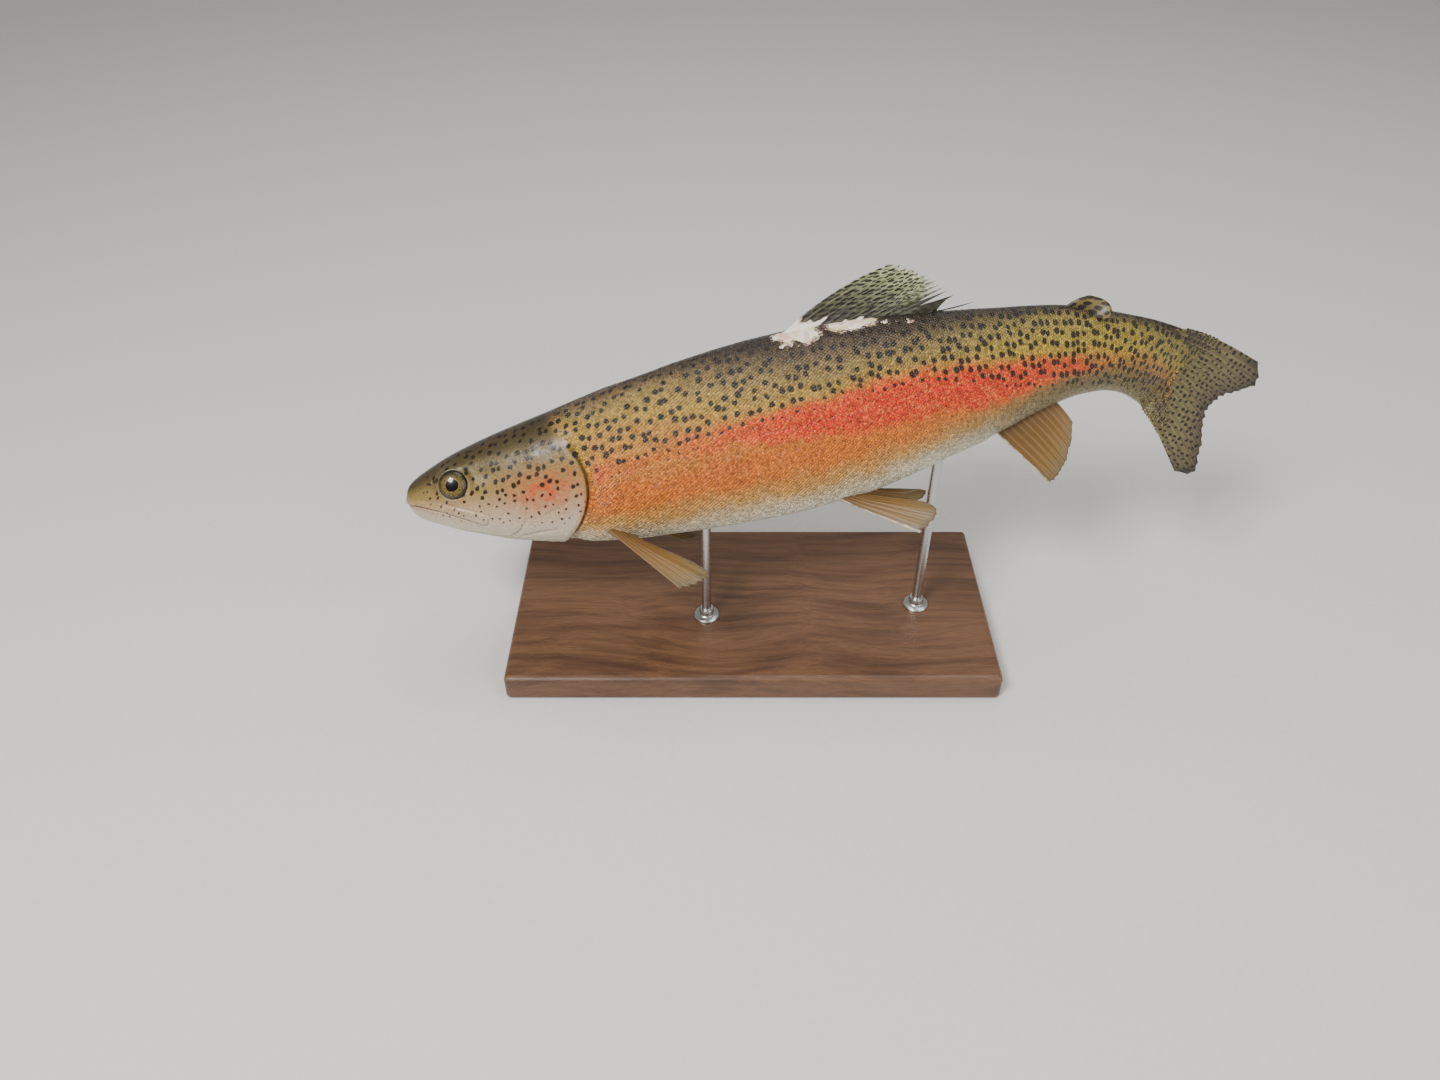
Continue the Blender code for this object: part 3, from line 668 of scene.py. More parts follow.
settled = add("Math SUBTRACT", add("Math MULTIPLY_ADD", mottle, 0.12, level), 0.06)
trunk_tone, tail_tone, head_tone = (
    add("ValToRGB", settled, stops=stops) for stops in (BACK_TO_BELLY, TAIL_BACK_TO_BELLY, HEAD_TO_THROAT)
)
tone = add("Mix RGBA", tail_in, trunk_tone, tail_tone)
tone = add("Mix RGBA", head_in, tone, head_tone)

# The red band, torn at its edges: gold turns to orange and orange to red, paler where silver shows through
wobble = add("TexNoise", where, 130.0, 4.0, 0.62)  # 8 mm
sway = add("TexNoise", where, 48.0)  # 21 mm
redness = add("Math SUBTRACT", add("Math MULTIPLY_ADD", sway, 0.70, red_in), 0.65)
redness = add("Math MULTIPLY_ADD", wobble, 0.60, redness)
band_mask = add("MapRange SMOOTHSTEP", redness, 0.08, 0.82, 0.0, 0.96)
band_tone = add("ValToRGB", redness, stops=BAND_EDGE_TO_MIDDLE)
silver = add("MapRange", mottle, 0.54, 0.70, 0.0, 0.35)
band_tone = add("Mix RGBA", silver, band_tone, "#d4703a")
golden = add("MapRange", add("TexNoise", where, 620.0), 0.52, 0.66, 0.0, 0.5)  # flecks of 1.6 mm
band_tone = add("Mix RGBA", golden, band_tone, "#d08a3c")
tone = add("Mix RGBA", band_mask, tone, band_tone)

# The blush on the gill cover, broken up over the silver in patches of 5 mm
patchy = add("MapRange", add("TexNoise", where, 190.0, 4.0, 0.65), 0.38, 0.60, 0.25, 0.95)
tone = add("Mix RGBA", add("Math MULTIPLY", blush_in, patchy), tone, "#b8451f")

# Fine dark peppering, about a millimetre across, fainter on the head and belly
pepper = add("MapRange", add("TexNoise", where, 900.0), 0.32, 0.68, 0.56, 1.28)
off_head = add("MapRange", head_in, 0.0, 1.0, 1.0, 0.45)
off_belly = add("MapRange", level, 0.68, 0.90, 1.0, 0.35)
tone = add("Mix RGBA", add("Math MULTIPLY", off_head, off_belly), tone, pepper, blend_type="MULTIPLY")

# Black spots in a jittered net, each of its own size, some missing, with a brown fringe and edges ragged by
# 2 mm grains, and small freckles between them
pushed = add("VectorMath SUBTRACT", add("TexNoise", where, 470.0, 3.0).outputs["Color"], (0.5, 0.5, 0.5))
net = add("VectorMath MULTIPLY_ADD", pushed, (0.34, 0.34, 0.0), mark_in)
cells = add("TexVoronoi", {"Vector": net, "Scale": 1.0, "Randomness": 0.66}, voronoi_dimensions="2D").outputs
lot = add("SeparateColor", cells["Color"]).outputs
size = add("MapRange", lot[0], 0.0, 1.0, 0.215, 0.30)
size = add("Math MULTIPLY", size, add("Math GREATER_THAN", lot[1], 0.10))
edge = add("Math SUBTRACT", add("Math MULTIPLY", size, spots_in), cells["Distance"])
spot = add("MapRange SMOOTHSTEP", edge, -0.03, 0.035, 0.0, 1.0)
fringe = add("MapRange SMOOTHSTEP", edge, -0.11, 0.01, 0.0, 0.55)
tone = add("Mix RGBA", add("Math MULTIPLY", fringe, spots_in), tone, "#412d14")
cells = add("TexVoronoi", {"Vector": net, "Scale": 2.3, "Randomness": 1.0}, voronoi_dimensions="2D").outputs
size = add("MapRange", add("SeparateColor", cells["Color"]).outputs[0], 0.70, 1.0, 0.0, 0.22)
edge = add("Math SUBTRACT", add("Math MULTIPLY", size, spots_in), cells["Distance"])
freckle = add("MapRange", edge, -0.05, 0.06, 0.0, 0.55)
dark = add("Math MAXIMUM", spot, freckle)
tone = add("Mix RGBA", add("Math MULTIPLY", dark, 0.93), tone, "#17100b")

# Raw patches: cream where the scales and pigment are gone, in patches of 6 mm yellower or pinker, and ragged
# at the edge by 2.6 mm grains
raw = add("Math MULTIPLY_ADD", add("TexNoise", where, 380.0, 4.0, 0.65), 0.5, sore_in)
sore_mask = add("MapRange SMOOTHSTEP", raw, 0.72, 0.84, 0.0, 1.0)
sore_tone = add("ValToRGB", raw, stops=SORE_EDGE_TO_MIDDLE)
patchy = add("TexNoise", where, 170.0, 3.0)
sore_tone = add("Mix RGBA", add("MapRange", patchy, 0.50, 0.62, 0.0, 0.65), sore_tone, "#d9b873")
sore_tone = add("Mix RGBA", add("MapRange", patchy, 0.48, 0.38, 0.0, 0.7), sore_tone, "#d09a88")
tone = add("Mix RGBA", sore_mask, tone, sore_tone)
# Painted shade: near black in the mouth's slit, the nostrils, under the gill cover's free edge and inside
# each eye's rim
tone = add("Mix RGBA", hollow_shade_in, tone, "#0d0a08")
add("NodeGroupOutput", tone, dark, sore_mask, mottle)

# Skin under a film of water: the light breaks into small glints over its pores, 1.6 mm apart, which are
# drawn coarser than life to show
wet_skin, add = new_material("wet trout skin")
colour = add("Group", node_tree=colouring).outputs
here = add("TexCoord").outputs["Object"]
rough = add("MapRange", add("TexNoise", here, 700.0, 4.0, 0.65), 0.3, 0.7, 0.26, 0.52)
rough = add("Math MULTIPLY_ADD", colour["Sore"], 0.25, rough)
pores = add("TexVoronoi", {"Vector": here, "Scale": 620.0}).outputs["Distance"]
grainy = add("Math MULTIPLY_ADD", pores, 0.35, add("TexNoise", here, 330.0, 6.0, 0.66))
surface = {
    "Base Color": colour["Colour"], "Roughness": rough, "IOR": 1.38,
    "Normal": add("Bump", {"Strength": 0.5, "Distance": 0.0005, "Height": grainy}),
    "Coat Weight": 0.20, "Coat Roughness": 0.12, "Coat IOR": 1.33,
}
add("OutputMaterial", add("BsdfPrincipled", surface))
skin.data.materials.append(wet_skin)
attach(skin, "root")
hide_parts(*FLESH)


# ---------------------------------------------------------------------------------------------------------
# The scales
#
# Small, thin, round plates of bone that grow out of pockets in the skin, in rows along the body, each lying
# over the next towards the tail. About 130 lie along the side. The head has none, and nor have the sores.

SCALE_LENGTH = 3.25
SCALE_OUTLINE = ((2.30, 0.0), (1.95, 0.76), (0.95, 1.18), (-0.40, 1.00), (-0.95, 0.36))
SCALE_THICK = 0.11
SCALE_PLACES = (84.0, 130.0, 300.0, 452.0)  # distances behind the snout
SCALE_STEP = (2.1, 2.6, 2.6, 1.9)  # pitch along the body there
SCALE_ROW = (1.55, 1.9, 1.85, 1.35)  # and pitch round it
PATCH = 0.003  # of the unwrap that each scale fills
RAW = 0.62  # no scale grows where the skin is this raw
COAT_ENDS = (("fore", 206.0), ("middle", 308.0), ("rear", LENGTH))


def scale_shape(name, tube):
    """One scale, in mm: tail end towards +X, a low dome with a rim, and on the side line a fine tube."""
    edge = [*SCALE_OUTLINE, *((px, -py) for px, py in reversed(SCALE_OUTLINE[1:]))]
    top = [(px, py, 0.02 + 0.08 * ease(-1.0, 1.2, px) - 0.03 * abs(py)) for px, py in edge]
    bottom = [(px, py, height - SCALE_THICK) for px, py, height in top]
    points = np.array([*top, *bottom, (0.75, 0.0, 0.145 + tube)])
    count = len(edge)
    faces = [(2 * count, i, (i + 1) % count) for i in range(count)]
    faces += [(i, i + count, (i + 1) % count + count, (i + 1) % count) for i in range(count)]
    faces.append(tuple(range(2 * count - 1, count - 1, -1)))
    shape = mesh_piece(name, points, faces)
    shape.data.polygons.foreach_set("use_smooth", [face < count for face in range(len(faces))])
    note(shape.data, "local", points / SCALE_LENGTH)
    shape.hide_render = True
    return shape


def coat_tree():
    """Sets a scale on every root, turned to the lie of the coat, with its own patch of the unwrap."""
    tree = bpy.data.node_groups.new("scale coat", "GeometryNodeTree")
    tree.is_modifier = True
    inputs = (
        ("Roots", "Geometry", None), ("Scale shape", "Object", None), ("Size", "Float", MM),
        ("Lift", "Float", 3.2), ("Unevenness", "Float", 0.10), ("Patch", "Float", PATCH), ("Seed", "Int", 11),
        ("Finish", "Material", None),
    )
    for name, kind, value in inputs:
        socket = tree.interface.new_socket(name, in_out="INPUT", socket_type=f"NodeSocket{kind}")
        if value is not None:
            socket.default_value = value
    tree.interface.new_socket("Coat", in_out="OUTPUT", socket_type="NodeSocketGeometry")
    add = functools.partial(add_node, tree)
    given = add("NodeGroupInput").outputs
    lie, out, mark, span, root_uv, local = (
        add("GeometryNodeInputNamedAttribute FLOAT_VECTOR", name)
        for name in ("lie", "out", "mark", "span", "root_uv", "local")
    )
    facing = add("FunctionNodeAlignRotationToVector", {"Vector": out}, axis="Z")
    facing = {"Rotation": facing, "Vector": lie}
    facing = add("FunctionNodeAlignRotationToVector", facing, axis="X", pivot_axis="Z")
    least = add("Math SUBTRACT", 1.0, given["Unevenness"])
    most = add("Math ADD", 1.0, given["Unevenness"])
    grown = add("FunctionNodeRandomValue FLOAT", least, most, {"Seed": given["Seed"]})
    grown = add("Math MULTIPLY", grown, add("GeometryNodeInputNamedAttribute FLOAT", "size"))
    grown = add("Math MULTIPLY", grown, given["Size"])
    shape = add("GeometryNodeObjectInfo", {"Object": given["Scale shape"]}).outputs["Geometry"]
    placing = {"Points": given["Roots"], "Instance": shape, "Rotation": facing, "Scale": grown}
    placed = add("GeometryNodeInstanceOnPoints", placing)
    askew = (-0.035, -0.03, -0.06), (0.035, 0.03, 0.06), {"Seed": given["Seed"]}  # radians either way
    lifted = add("Math MULTIPLY", given["Lift"], -math.pi / 180.0)
    turned = add("CombineXYZ", {1: lifted})
    turned = add("VectorMath ADD", turned, add("FunctionNodeRandomValue FLOAT_VECTOR", *askew))
    tilting = {"Instances": placed, "Rotation": turned, "Local Space": True}
    placed = add("GeometryNodeRotateInstances", tilting)
    # Each scale's own random value sets its roughness and its brightness, which is partly its own tone and
    # partly painted glints
    shade = {"Geometry": placed, "Name": "shade", "Value": add("FunctionNodeRandomValue FLOAT", {"Seed": 3})}
    placed = add("GeometryNodeStoreNamedAttribute FLOAT", shade, domain="INSTANCE")
    real = add("GeometryNodeRealizeInstances", placed)
    real = {"Geometry": real, "Name": "mark", "Value": add("VectorMath MULTIPLY_ADD", local, span, mark)}
    real = add("GeometryNodeStoreNamedAttribute FLOAT_VECTOR", real, domain="POINT")
    patch = add("VectorMath SCALE", local, given["Patch"])
    real = {"Geometry": real, "Name": "OFBake", "Value": add("VectorMath ADD", patch, root_uv)}
    real = add("GeometryNodeStoreNamedAttribute FLOAT2", real, domain="CORNER")
    add("NodeGroupOutput", add("GeometryNodeSetMaterial", {"Geometry": real, "Material": given["Finish"]}))
    return tree


def lay_coat(name, shape, roots):
    """A plain mesh of one scale for each root, made by the coat's tree."""
    mesh = bpy.data.meshes.new(name)
    mesh.from_pydata(roots["place"].tolist(), [], [])
    for key, values in roots.items():
        if key != "place":
            note(mesh, key, values)
    coat = in_scene(name, mesh)
    growth = coat.modifiers.new("scales", "NODES")
    growth.node_group = COAT
    for item in COAT.interface.items_tree:
        if item.name in ("Scale shape", "Finish"):
            growth[item.identifier] = shape if item.name == "Scale shape" else wet_scale
    bpy.context.view_layer.update()
    grown = coat.evaluated_get(bpy.context.evaluated_depsgraph_get())
    coat.data = bpy.data.meshes.new_from_object(grown)
    coat.modifiers.clear()
    bpy.data.meshes.remove(mesh)
    for key in ("lie", "out", "span", "root_uv", "size"):
        if key in coat.data.attributes:
            coat.data.attributes.remove(coat.data.attributes[key])
    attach(coat, "root")


def side_line(x):
    """Share of the way down the side where the side line runs: high at the gills, then along the middle."""
    return 0.395 + 0.085 * ease(106.0, 210.0, x)


def scale_rows():
    """Distance behind the snout, arc from the ridge, row, pitch and half round for each scale of one side."""
    found = []
    x, count = SCALE_PLACES[0], 0
    while x < LENGTH - 3.0:
        half = np.interp(x, rings, half_round)
        pitch = np.interp(x, SCALE_PLACES, SCALE_ROW)
        rows = np.arange(-70, 71) + 0.5 * (count % 2)
        arc = side_line(x) * half + rows * pitch
        inside = (arc > 0.5) & (arc < half - 0.4)
        found += [(x, place, row, pitch, half) for row, place in zip(rows[inside], arc[inside])]
        x += np.interp(x, SCALE_PLACES, SCALE_STEP) / 2.0
        count += 1
    return np.array(found).T


# Clear, glassy bone over silver: each scale has its own brightness, partly its own tone and partly painted
# glints, and a painted shade darkens it where the next one's edge shades it. Its rings of growth, drawn
# coarser than life at 0.3 mm, break up the shine.
wet_scale, add = new_material("wet trout scale")
colour = add("Group", node_tree=colouring).outputs["Colour"]
own = add("Attribute shade").outputs["Fac"]
local = add("Attribute local").outputs["Vector"]
# Painted shade darkens each scale towards its tail end, and its own brightness is partly its tone and partly
# painted glints
rear = add("MapRange", add("SeparateXYZ", local), 0.38, 0.72, 1.0, 0.74)
shade = add("Math MULTIPLY", rear, add("MapRange", own, 0.0, 1.0, 0.72, 1.30))
from_middle = add("VectorMath LENGTH", local).outputs["Value"]
growth_rings = add("Math SINE", add("Math MULTIPLY", from_middle, 70.0))
surface = {
    "Base Color": add("Mix RGBA", 1.0, colour, shade, blend_type="MULTIPLY"),
    "Roughness": add("MapRange", own, 0.0, 1.0, 0.22, 0.36),
    "Normal": add("Bump", {"Strength": 0.25, "Distance": 0.00006, "Height": growth_rings}),
    "IOR": 1.42, "Coat Weight": 0.50, "Coat Roughness": 0.07, "Coat IOR": 1.33,
}
add("OutputMaterial", add("BsdfPrincipled", surface))

COAT = coat_tree()
plain_scale = scale_shape("plain_scale", 0.0)
line_scale = scale_shape("line_scale", 0.16)
row_x, row_arc, row_number, row_pitch, row_half = scale_rows()
ahead = np.minimum(row_x + 1.0, LENGTH)
ahead_pitch = np.interp(ahead, SCALE_PLACES, SCALE_ROW) / np.interp(ahead, rings, half_round)
ahead_share = np.clip(side_line(ahead) + row_number * ahead_pitch, 0.0, 1.0)
row_share = row_arc / row_half
ring_at, ring_ahead = (np.interp(at, rings, np.arange(len(rings))) for at in (row_x, ahead))
mesh_along, mesh_round = (np.interp(row_x, rings, net) for net in (net_along, net_round))
meshes = np.column_stack([mesh_along, mesh_round, np.inf + row_x])
chance = np.random.default_rng(12)
for side, left in (("left", 1.0), ("right", 0.0)):
    column_at, column_ahead = (
        ROUND - HALF * share if left else HALF * share for share in (row_share, ahead_share)
    )
    place = sample(skin_bent, ring_at, column_at)
    marks = markings(ring_at, row_share, np.full(len(row_x), left))
    past_nape = row_x - gill_edge(sample(bare[..., 2:3], ring_at, column_at)[:, 0])
    nape = fade(2.0, 24.0, past_nape) * fade(0.22, 0.34, row_share)
    size = row_pitch / 1.9 * (1.0 - 0.5 * nape)
    roots = {
        "place": place, "lie": sample(skin_bent, ring_ahead, column_ahead) - place,
        "out": sample(skin_normals, ring_at, column_at), "size": size,
        "span": SCALE_LENGTH * size[:, None] / meshes,
        "root_uv": np.column_stack([unwrap(row_x, column_at / ROUND), 0.0 * size]), **marks,
    }
    sparse = chance.uniform(0.0, 1.0, len(row_x)) < 1.6 * nape - 0.95
    grows = (past_nape > 1.6) & (marks["field"][:, 1] < RAW) & ~sparse
    on_line = row_number == 0.0
    parts = [("side_line", on_line, line_scale)]
    start = 0.0
    for part, end in COAT_ENDS:
        parts.append((f"scales_{part}", ~on_line & (row_x >= start) & (row_x < end), plain_scale))
        start = end
    for part, within, shape in parts:
        lay_coat(f"{part}_{side}", shape, {key: values[grows & within] for key, values in roots.items()})
bpy.data.objects.remove(line_scale, do_unlink=True)


# ---------------------------------------------------------------------------------------------------------
# The eyes
#
# Round, lidless and set in a thin rim of skin. The clear, domed front covers a brassy iris, darkly mottled,
# round a black pupil that is drawn out a little towards the snout. Museum eyes are painted glass.

EYE_RADIUS = 8.6
EYE_HALF_DEPTH = 4.0
EYE_AROUND = 64
PUPIL_TO_RIM = (
    (0.0, "#020202"), (0.395, "#020202"), (0.415, "#b08a44"), (0.46, "#7a6434"), (0.62, "#75653a"),
    (0.78, "#4c4026"), (0.88, "#1a150e"), (1.0, "#0c0a08"),
)

# Glass over brass-coloured paint: one hard, wet highlight over an iris that is dark above and mottled
eye_finish, add = new_material("painted glass eye")
disc = add("Attribute disc").outputs["Vector"]
forwards, upwards, _ = add("SeparateXYZ", disc).outputs
fore_pull = add("MapRange", forwards, -0.4, 0.1, 0.05, 0.0)
radius = add("Math SUBTRACT", add("VectorMath LENGTH", disc).outputs["Value"], fore_pull)
mottling = add("MapRange", add("TexNoise", disc, 9.0, 4.0, 0.6), 0.42, 0.58, 0.0, 0.80)
dimmed = add("Math MAXIMUM", mottling, add("MapRange", upwards, 0.2, 0.75, 0.0, 0.7))
iris = add("Mix RGBA", dimmed, add("ValToRGB", radius, stops=PUPIL_TO_RIM), "#15110b")
surface = {
    "Base Color": add("Mix RGBA", add("Math LESS_THAN", radius, 0.402), iris, "#020202"),
    "Roughness": 0.30, "Specular IOR Level": 0.15,
    "Coat Weight": 0.8, "Coat Roughness": 0.02, "Coat IOR": 1.38,
}
add("OutputMaterial", add("BsdfPrincipled", surface))

turns = np.linspace(0.0, 2.0 * math.pi, EYE_AROUND, endpoint=False)[:, None]
slopes = np.linspace(0.0, math.pi, 34)[1:-1, None, None]
eye_index = np.arange(slopes.size * EYE_AROUND).reshape(-1, EYE_AROUND)
for side, sign in (("left", -1.0), ("right", 1.0)):
    middle, look, over = eye_axes(sign)
    circle = np.cos(turns) * (1.0, 0.0, 0.0) + np.sin(turns) * over
    balls = middle + EYE_RADIUS * np.sin(slopes) * circle + EYE_HALF_DEPTH * np.cos(slopes) * look
    points = np.vstack([balls.reshape(-1, 3), middle + EYE_HALF_DEPTH * look, middle - EYE_HALF_DEPTH * look])
    poles = (eye_index.size, eye_index.size + 1)
    eye = mesh_piece(f"eye_{side}_glass", bend(points), ring_faces(eye_index, poles))
    on_disc = np.sin(slopes) * np.stack([np.cos(turns), np.sin(turns), 0.0 * turns], axis=-1)[:, 0]
    on_disc[..., 2] = np.cos(slopes[..., 0]) < 0.0
    note(eye.data, "disc", np.vstack([on_disc.reshape(-1, 3), (0.0, 0.0, 0.0), (0.0, 0.0, 1.0)]))
    eye.data.materials.append(eye_finish)
    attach(eye, "root")
    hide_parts(f"eye_{side}")


# ---------------------------------------------------------------------------------------------------------
# The fins
#
# Thin webs of skin stretched over fans of bony rays. A ray is jointed all along and splits in two, and in
# two again, towards the worn edge of the fin. The roots are fleshy and end inside the body.

FIN_COLUMNS = 10  # of the web between two rays
FIN_ROWS = 40
RAY_JOINT = 1.1  # length of one joint of a ray


def fin_finish(name, web_stops, edge_colour, spots, dark_from=99.0):
    """Thin, wet skin: satin rather than glassy, and lighter over its rays than on the web between them.

    Its dashes grow with spots, and from the ray dark_from on its worn ends are dark.
    """
    material, add = new_material(name)
    here = add("TexCoord").outputs["Object"]
    ray, along, share = add("SeparateXYZ", add("Attribute web").outputs["Vector"]).outputs
    marks = add("Attribute net").outputs["Vector"]
    rib, rim, raw = (add(f"Attribute {name}").outputs["Fac"] for name in ("rib", "rim", "raw"))
    mottle = add("TexNoise", here, 240.0, 5.0, 0.62)  # 4 mm
    reach = add("Math SUBTRACT", add("Math MULTIPLY_ADD", mottle, 0.34, share), 0.17)
    on_ray = add("MapRange", rib, 0.2, 0.9, 0.80, 1.30)
    tone = add("Mix RGBA", 1.0, add("ValToRGB", reach, stops=web_stops), on_ray, blend_type="MULTIPLY")

    # Black dashes between the rays, ragged by 1.7 mm grains
    pushed = add("VectorMath SUBTRACT", add("TexNoise", here, 600.0).outputs["Color"], (0.5, 0.5, 0.5))
    net = add("VectorMath MULTIPLY_ADD", pushed, (0.26, 0.26, 0.0), marks)
    cells = {"Vector": net, "Scale": 1.0, "Randomness": 0.48}
    cells = add("TexVoronoi", cells, voronoi_dimensions="2D").outputs
    size = add("SeparateColor", cells["Color"]).outputs[0]
    size = add("MapRange", size, 0.0, 1.0, 0.25 * spots, 0.36 * spots)
    edge = add("Math SUBTRACT", size, cells["Distance"])
    spot = add("MapRange SMOOTHSTEP", edge, -0.04, 0.04, 0.0, 0.96)
    tone = add("Mix RGBA", spot, tone, "#17120c")

    # The pale rim, the dark worn ends, the joints of the rays, and the raw skin at the root
    rim = add("Math MULTIPLY_ADD", mottle, 0.6, rim)
    rim = add("MapRange SMOOTHSTEP", rim, 0.98, 1.25, 0.0, 0.85)
    tone = add("Mix RGBA", rim, tone, edge_colour)
    worn_ray = add("MapRange", ray, dark_from, dark_from + 1.5, 0.0, 1.0)
    worn = add("Math MULTIPLY", worn_ray, add("MapRange", reach, 0.30, 0.70, 0.0, 0.9))
    tone = add("Mix RGBA", worn, tone, "#1f1610")
    joint = add("Math SINE", add("Math MULTIPLY", along, 2.0 * math.pi / RAY_JOINT))
    joint = add("Math MULTIPLY", add("MapRange", joint, 0.5, 1.0, 0.0, 1.0), rib)
    tone = add("Mix RGBA", add("Math MULTIPLY", joint, 0.28), tone, "#241c10")
    raw = add("Math MULTIPLY_ADD", add("TexNoise", here, 380.0, 4.0), 0.5, raw)
    raw_tone = add("ValToRGB", raw, stops=SORE_EDGE_TO_MIDDLE)
    relief = {"Strength": 0.4, "Distance": 0.00018, "Height": add("Math SUBTRACT", mottle, joint)}
    surface = {
        "Base Color": add("Mix RGBA", add("MapRange", raw, 0.74, 0.84, 0.0, 1.0), tone, raw_tone),
        "Roughness": add("MapRange", mottle, 0.3, 0.7, 0.34, 0.52), "Normal": add("Bump", relief),
        "IOR": 1.40, "Coat Weight": 0.15, "Coat Roughness": 0.20, "Coat IOR": 1.33,
    }
    add("OutputMaterial", add("BsdfPrincipled", surface))
    return material


DARK_WEB = ((0.0, "#2f281c"), (0.30, "#423f2e"), (0.58, "#65674c"), (0.85, "#91956f"), (1.0, "#a9ab84"))
OLIVE_WEB = ((0.0, "#332b1c"), (0.30, "#554a28"), (0.60, "#6b5e30"), (0.85, "#756738"), (1.0, "#7a6034"))
AMBER_WEB = ((0.0, "#5a4326"), (0.30, "#6e5028"), (0.65, "#77592e"), (0.90, "#6f5a38"), (1.0, "#63543c"))
TAIL_WEB = ((0.0, "#54492a"), (0.28, "#665a38"), (0.62, "#6a6141"), (0.86, "#584d38"), (1.0, "#3a3127"))
spotted_fin = fin_finish("spotted fin skin", DARK_WEB, "#d8d2b4", 1.22, 8.3)
adipose_finish = fin_finish("adipose fin skin", OLIVE_WEB, "#b79a5c", 1.25)
amber_fin = fin_finish("amber fin skin", AMBER_WEB, "#cdc3ac", 0.0)
tail_fin = fin_finish("tail fin skin", TAIL_WEB, "#2b231b", 0.82)


def ribs(ray, share):
    """How much each point stands on a ray: the rays split in two, and in two again, towards the rim."""
    off_ray = np.abs(ray - np.round(ray))
    near = np.abs(np.abs(off_ray - 0.25 * ease(0.30, 1.0, share)) - 0.11 * ease(0.62, 1.05, share))
    near = np.where(ray < 0.6, off_ray * 0.6, near)  # the first ray is whole
    return hump(near, 0.17 - 0.09 * share)


def spread_fin(name, middle, ray, share, finish, thick, root_thick, rib_height, net, rim, raw):
    """A closed web, half of it on either side of a middle sheet, ridged by its rays and thin at the rim."""
    normal = grid_normals(middle, closed=False)
    rib = ribs(ray, share) * (rib_height > 0.0)
    half = thick / 2.0 + (root_thick - thick) / 2.0 * fade(0.08, 0.42, share) ** 1.5
    half = half + rib_height * rib * (1.0 - 0.55 * share) * ease(0.02, 0.2, share)
    from_edge = np.minimum(ray, ray.max() - ray) + 0.08
    border = np.minimum(ease(0.0, 0.03, 1.0 - share), ease(0.0, 0.25, from_edge))
    half = (half * (0.25 + 0.75 * border))[..., None]
    sheets = bend(np.stack([middle + normal * half, middle - normal * half]))
    index = np.arange(2 * ray.size).reshape(2, *ray.shape)
    faces = ring_faces(np.hstack([index[0], index[1][:, ::-1]]))
    for near, far in zip(index[0][[0, -1]], index[1][[0, -1]]):
        faces += np.stack([near[:-1], near[1:], far[1:], far[:-1]], axis=-1).tolist()
    fin = mesh_piece(name, sheets, faces)
    along = np.cumsum(np.linalg.norm(np.diff(middle, axis=1), axis=-1), axis=1)
    along = np.hstack([np.zeros((len(ray), 1)), along])
    net = np.stack([net[0], along / net[1], 0.0 * share], axis=-1)
    web = np.stack([ray, along, share], axis=-1)
    for key, values in (("web", web), ("net", net), ("rib", rib), ("rim", rim), ("raw", raw)):
        note(fin.data, key, np.stack([values, values]).reshape(-1, *values.shape[2:]))
    fin.data.materials.append(finish)
    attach(fin, "root")
    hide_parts(name.rsplit("_web", 1)[0])
    return sheets


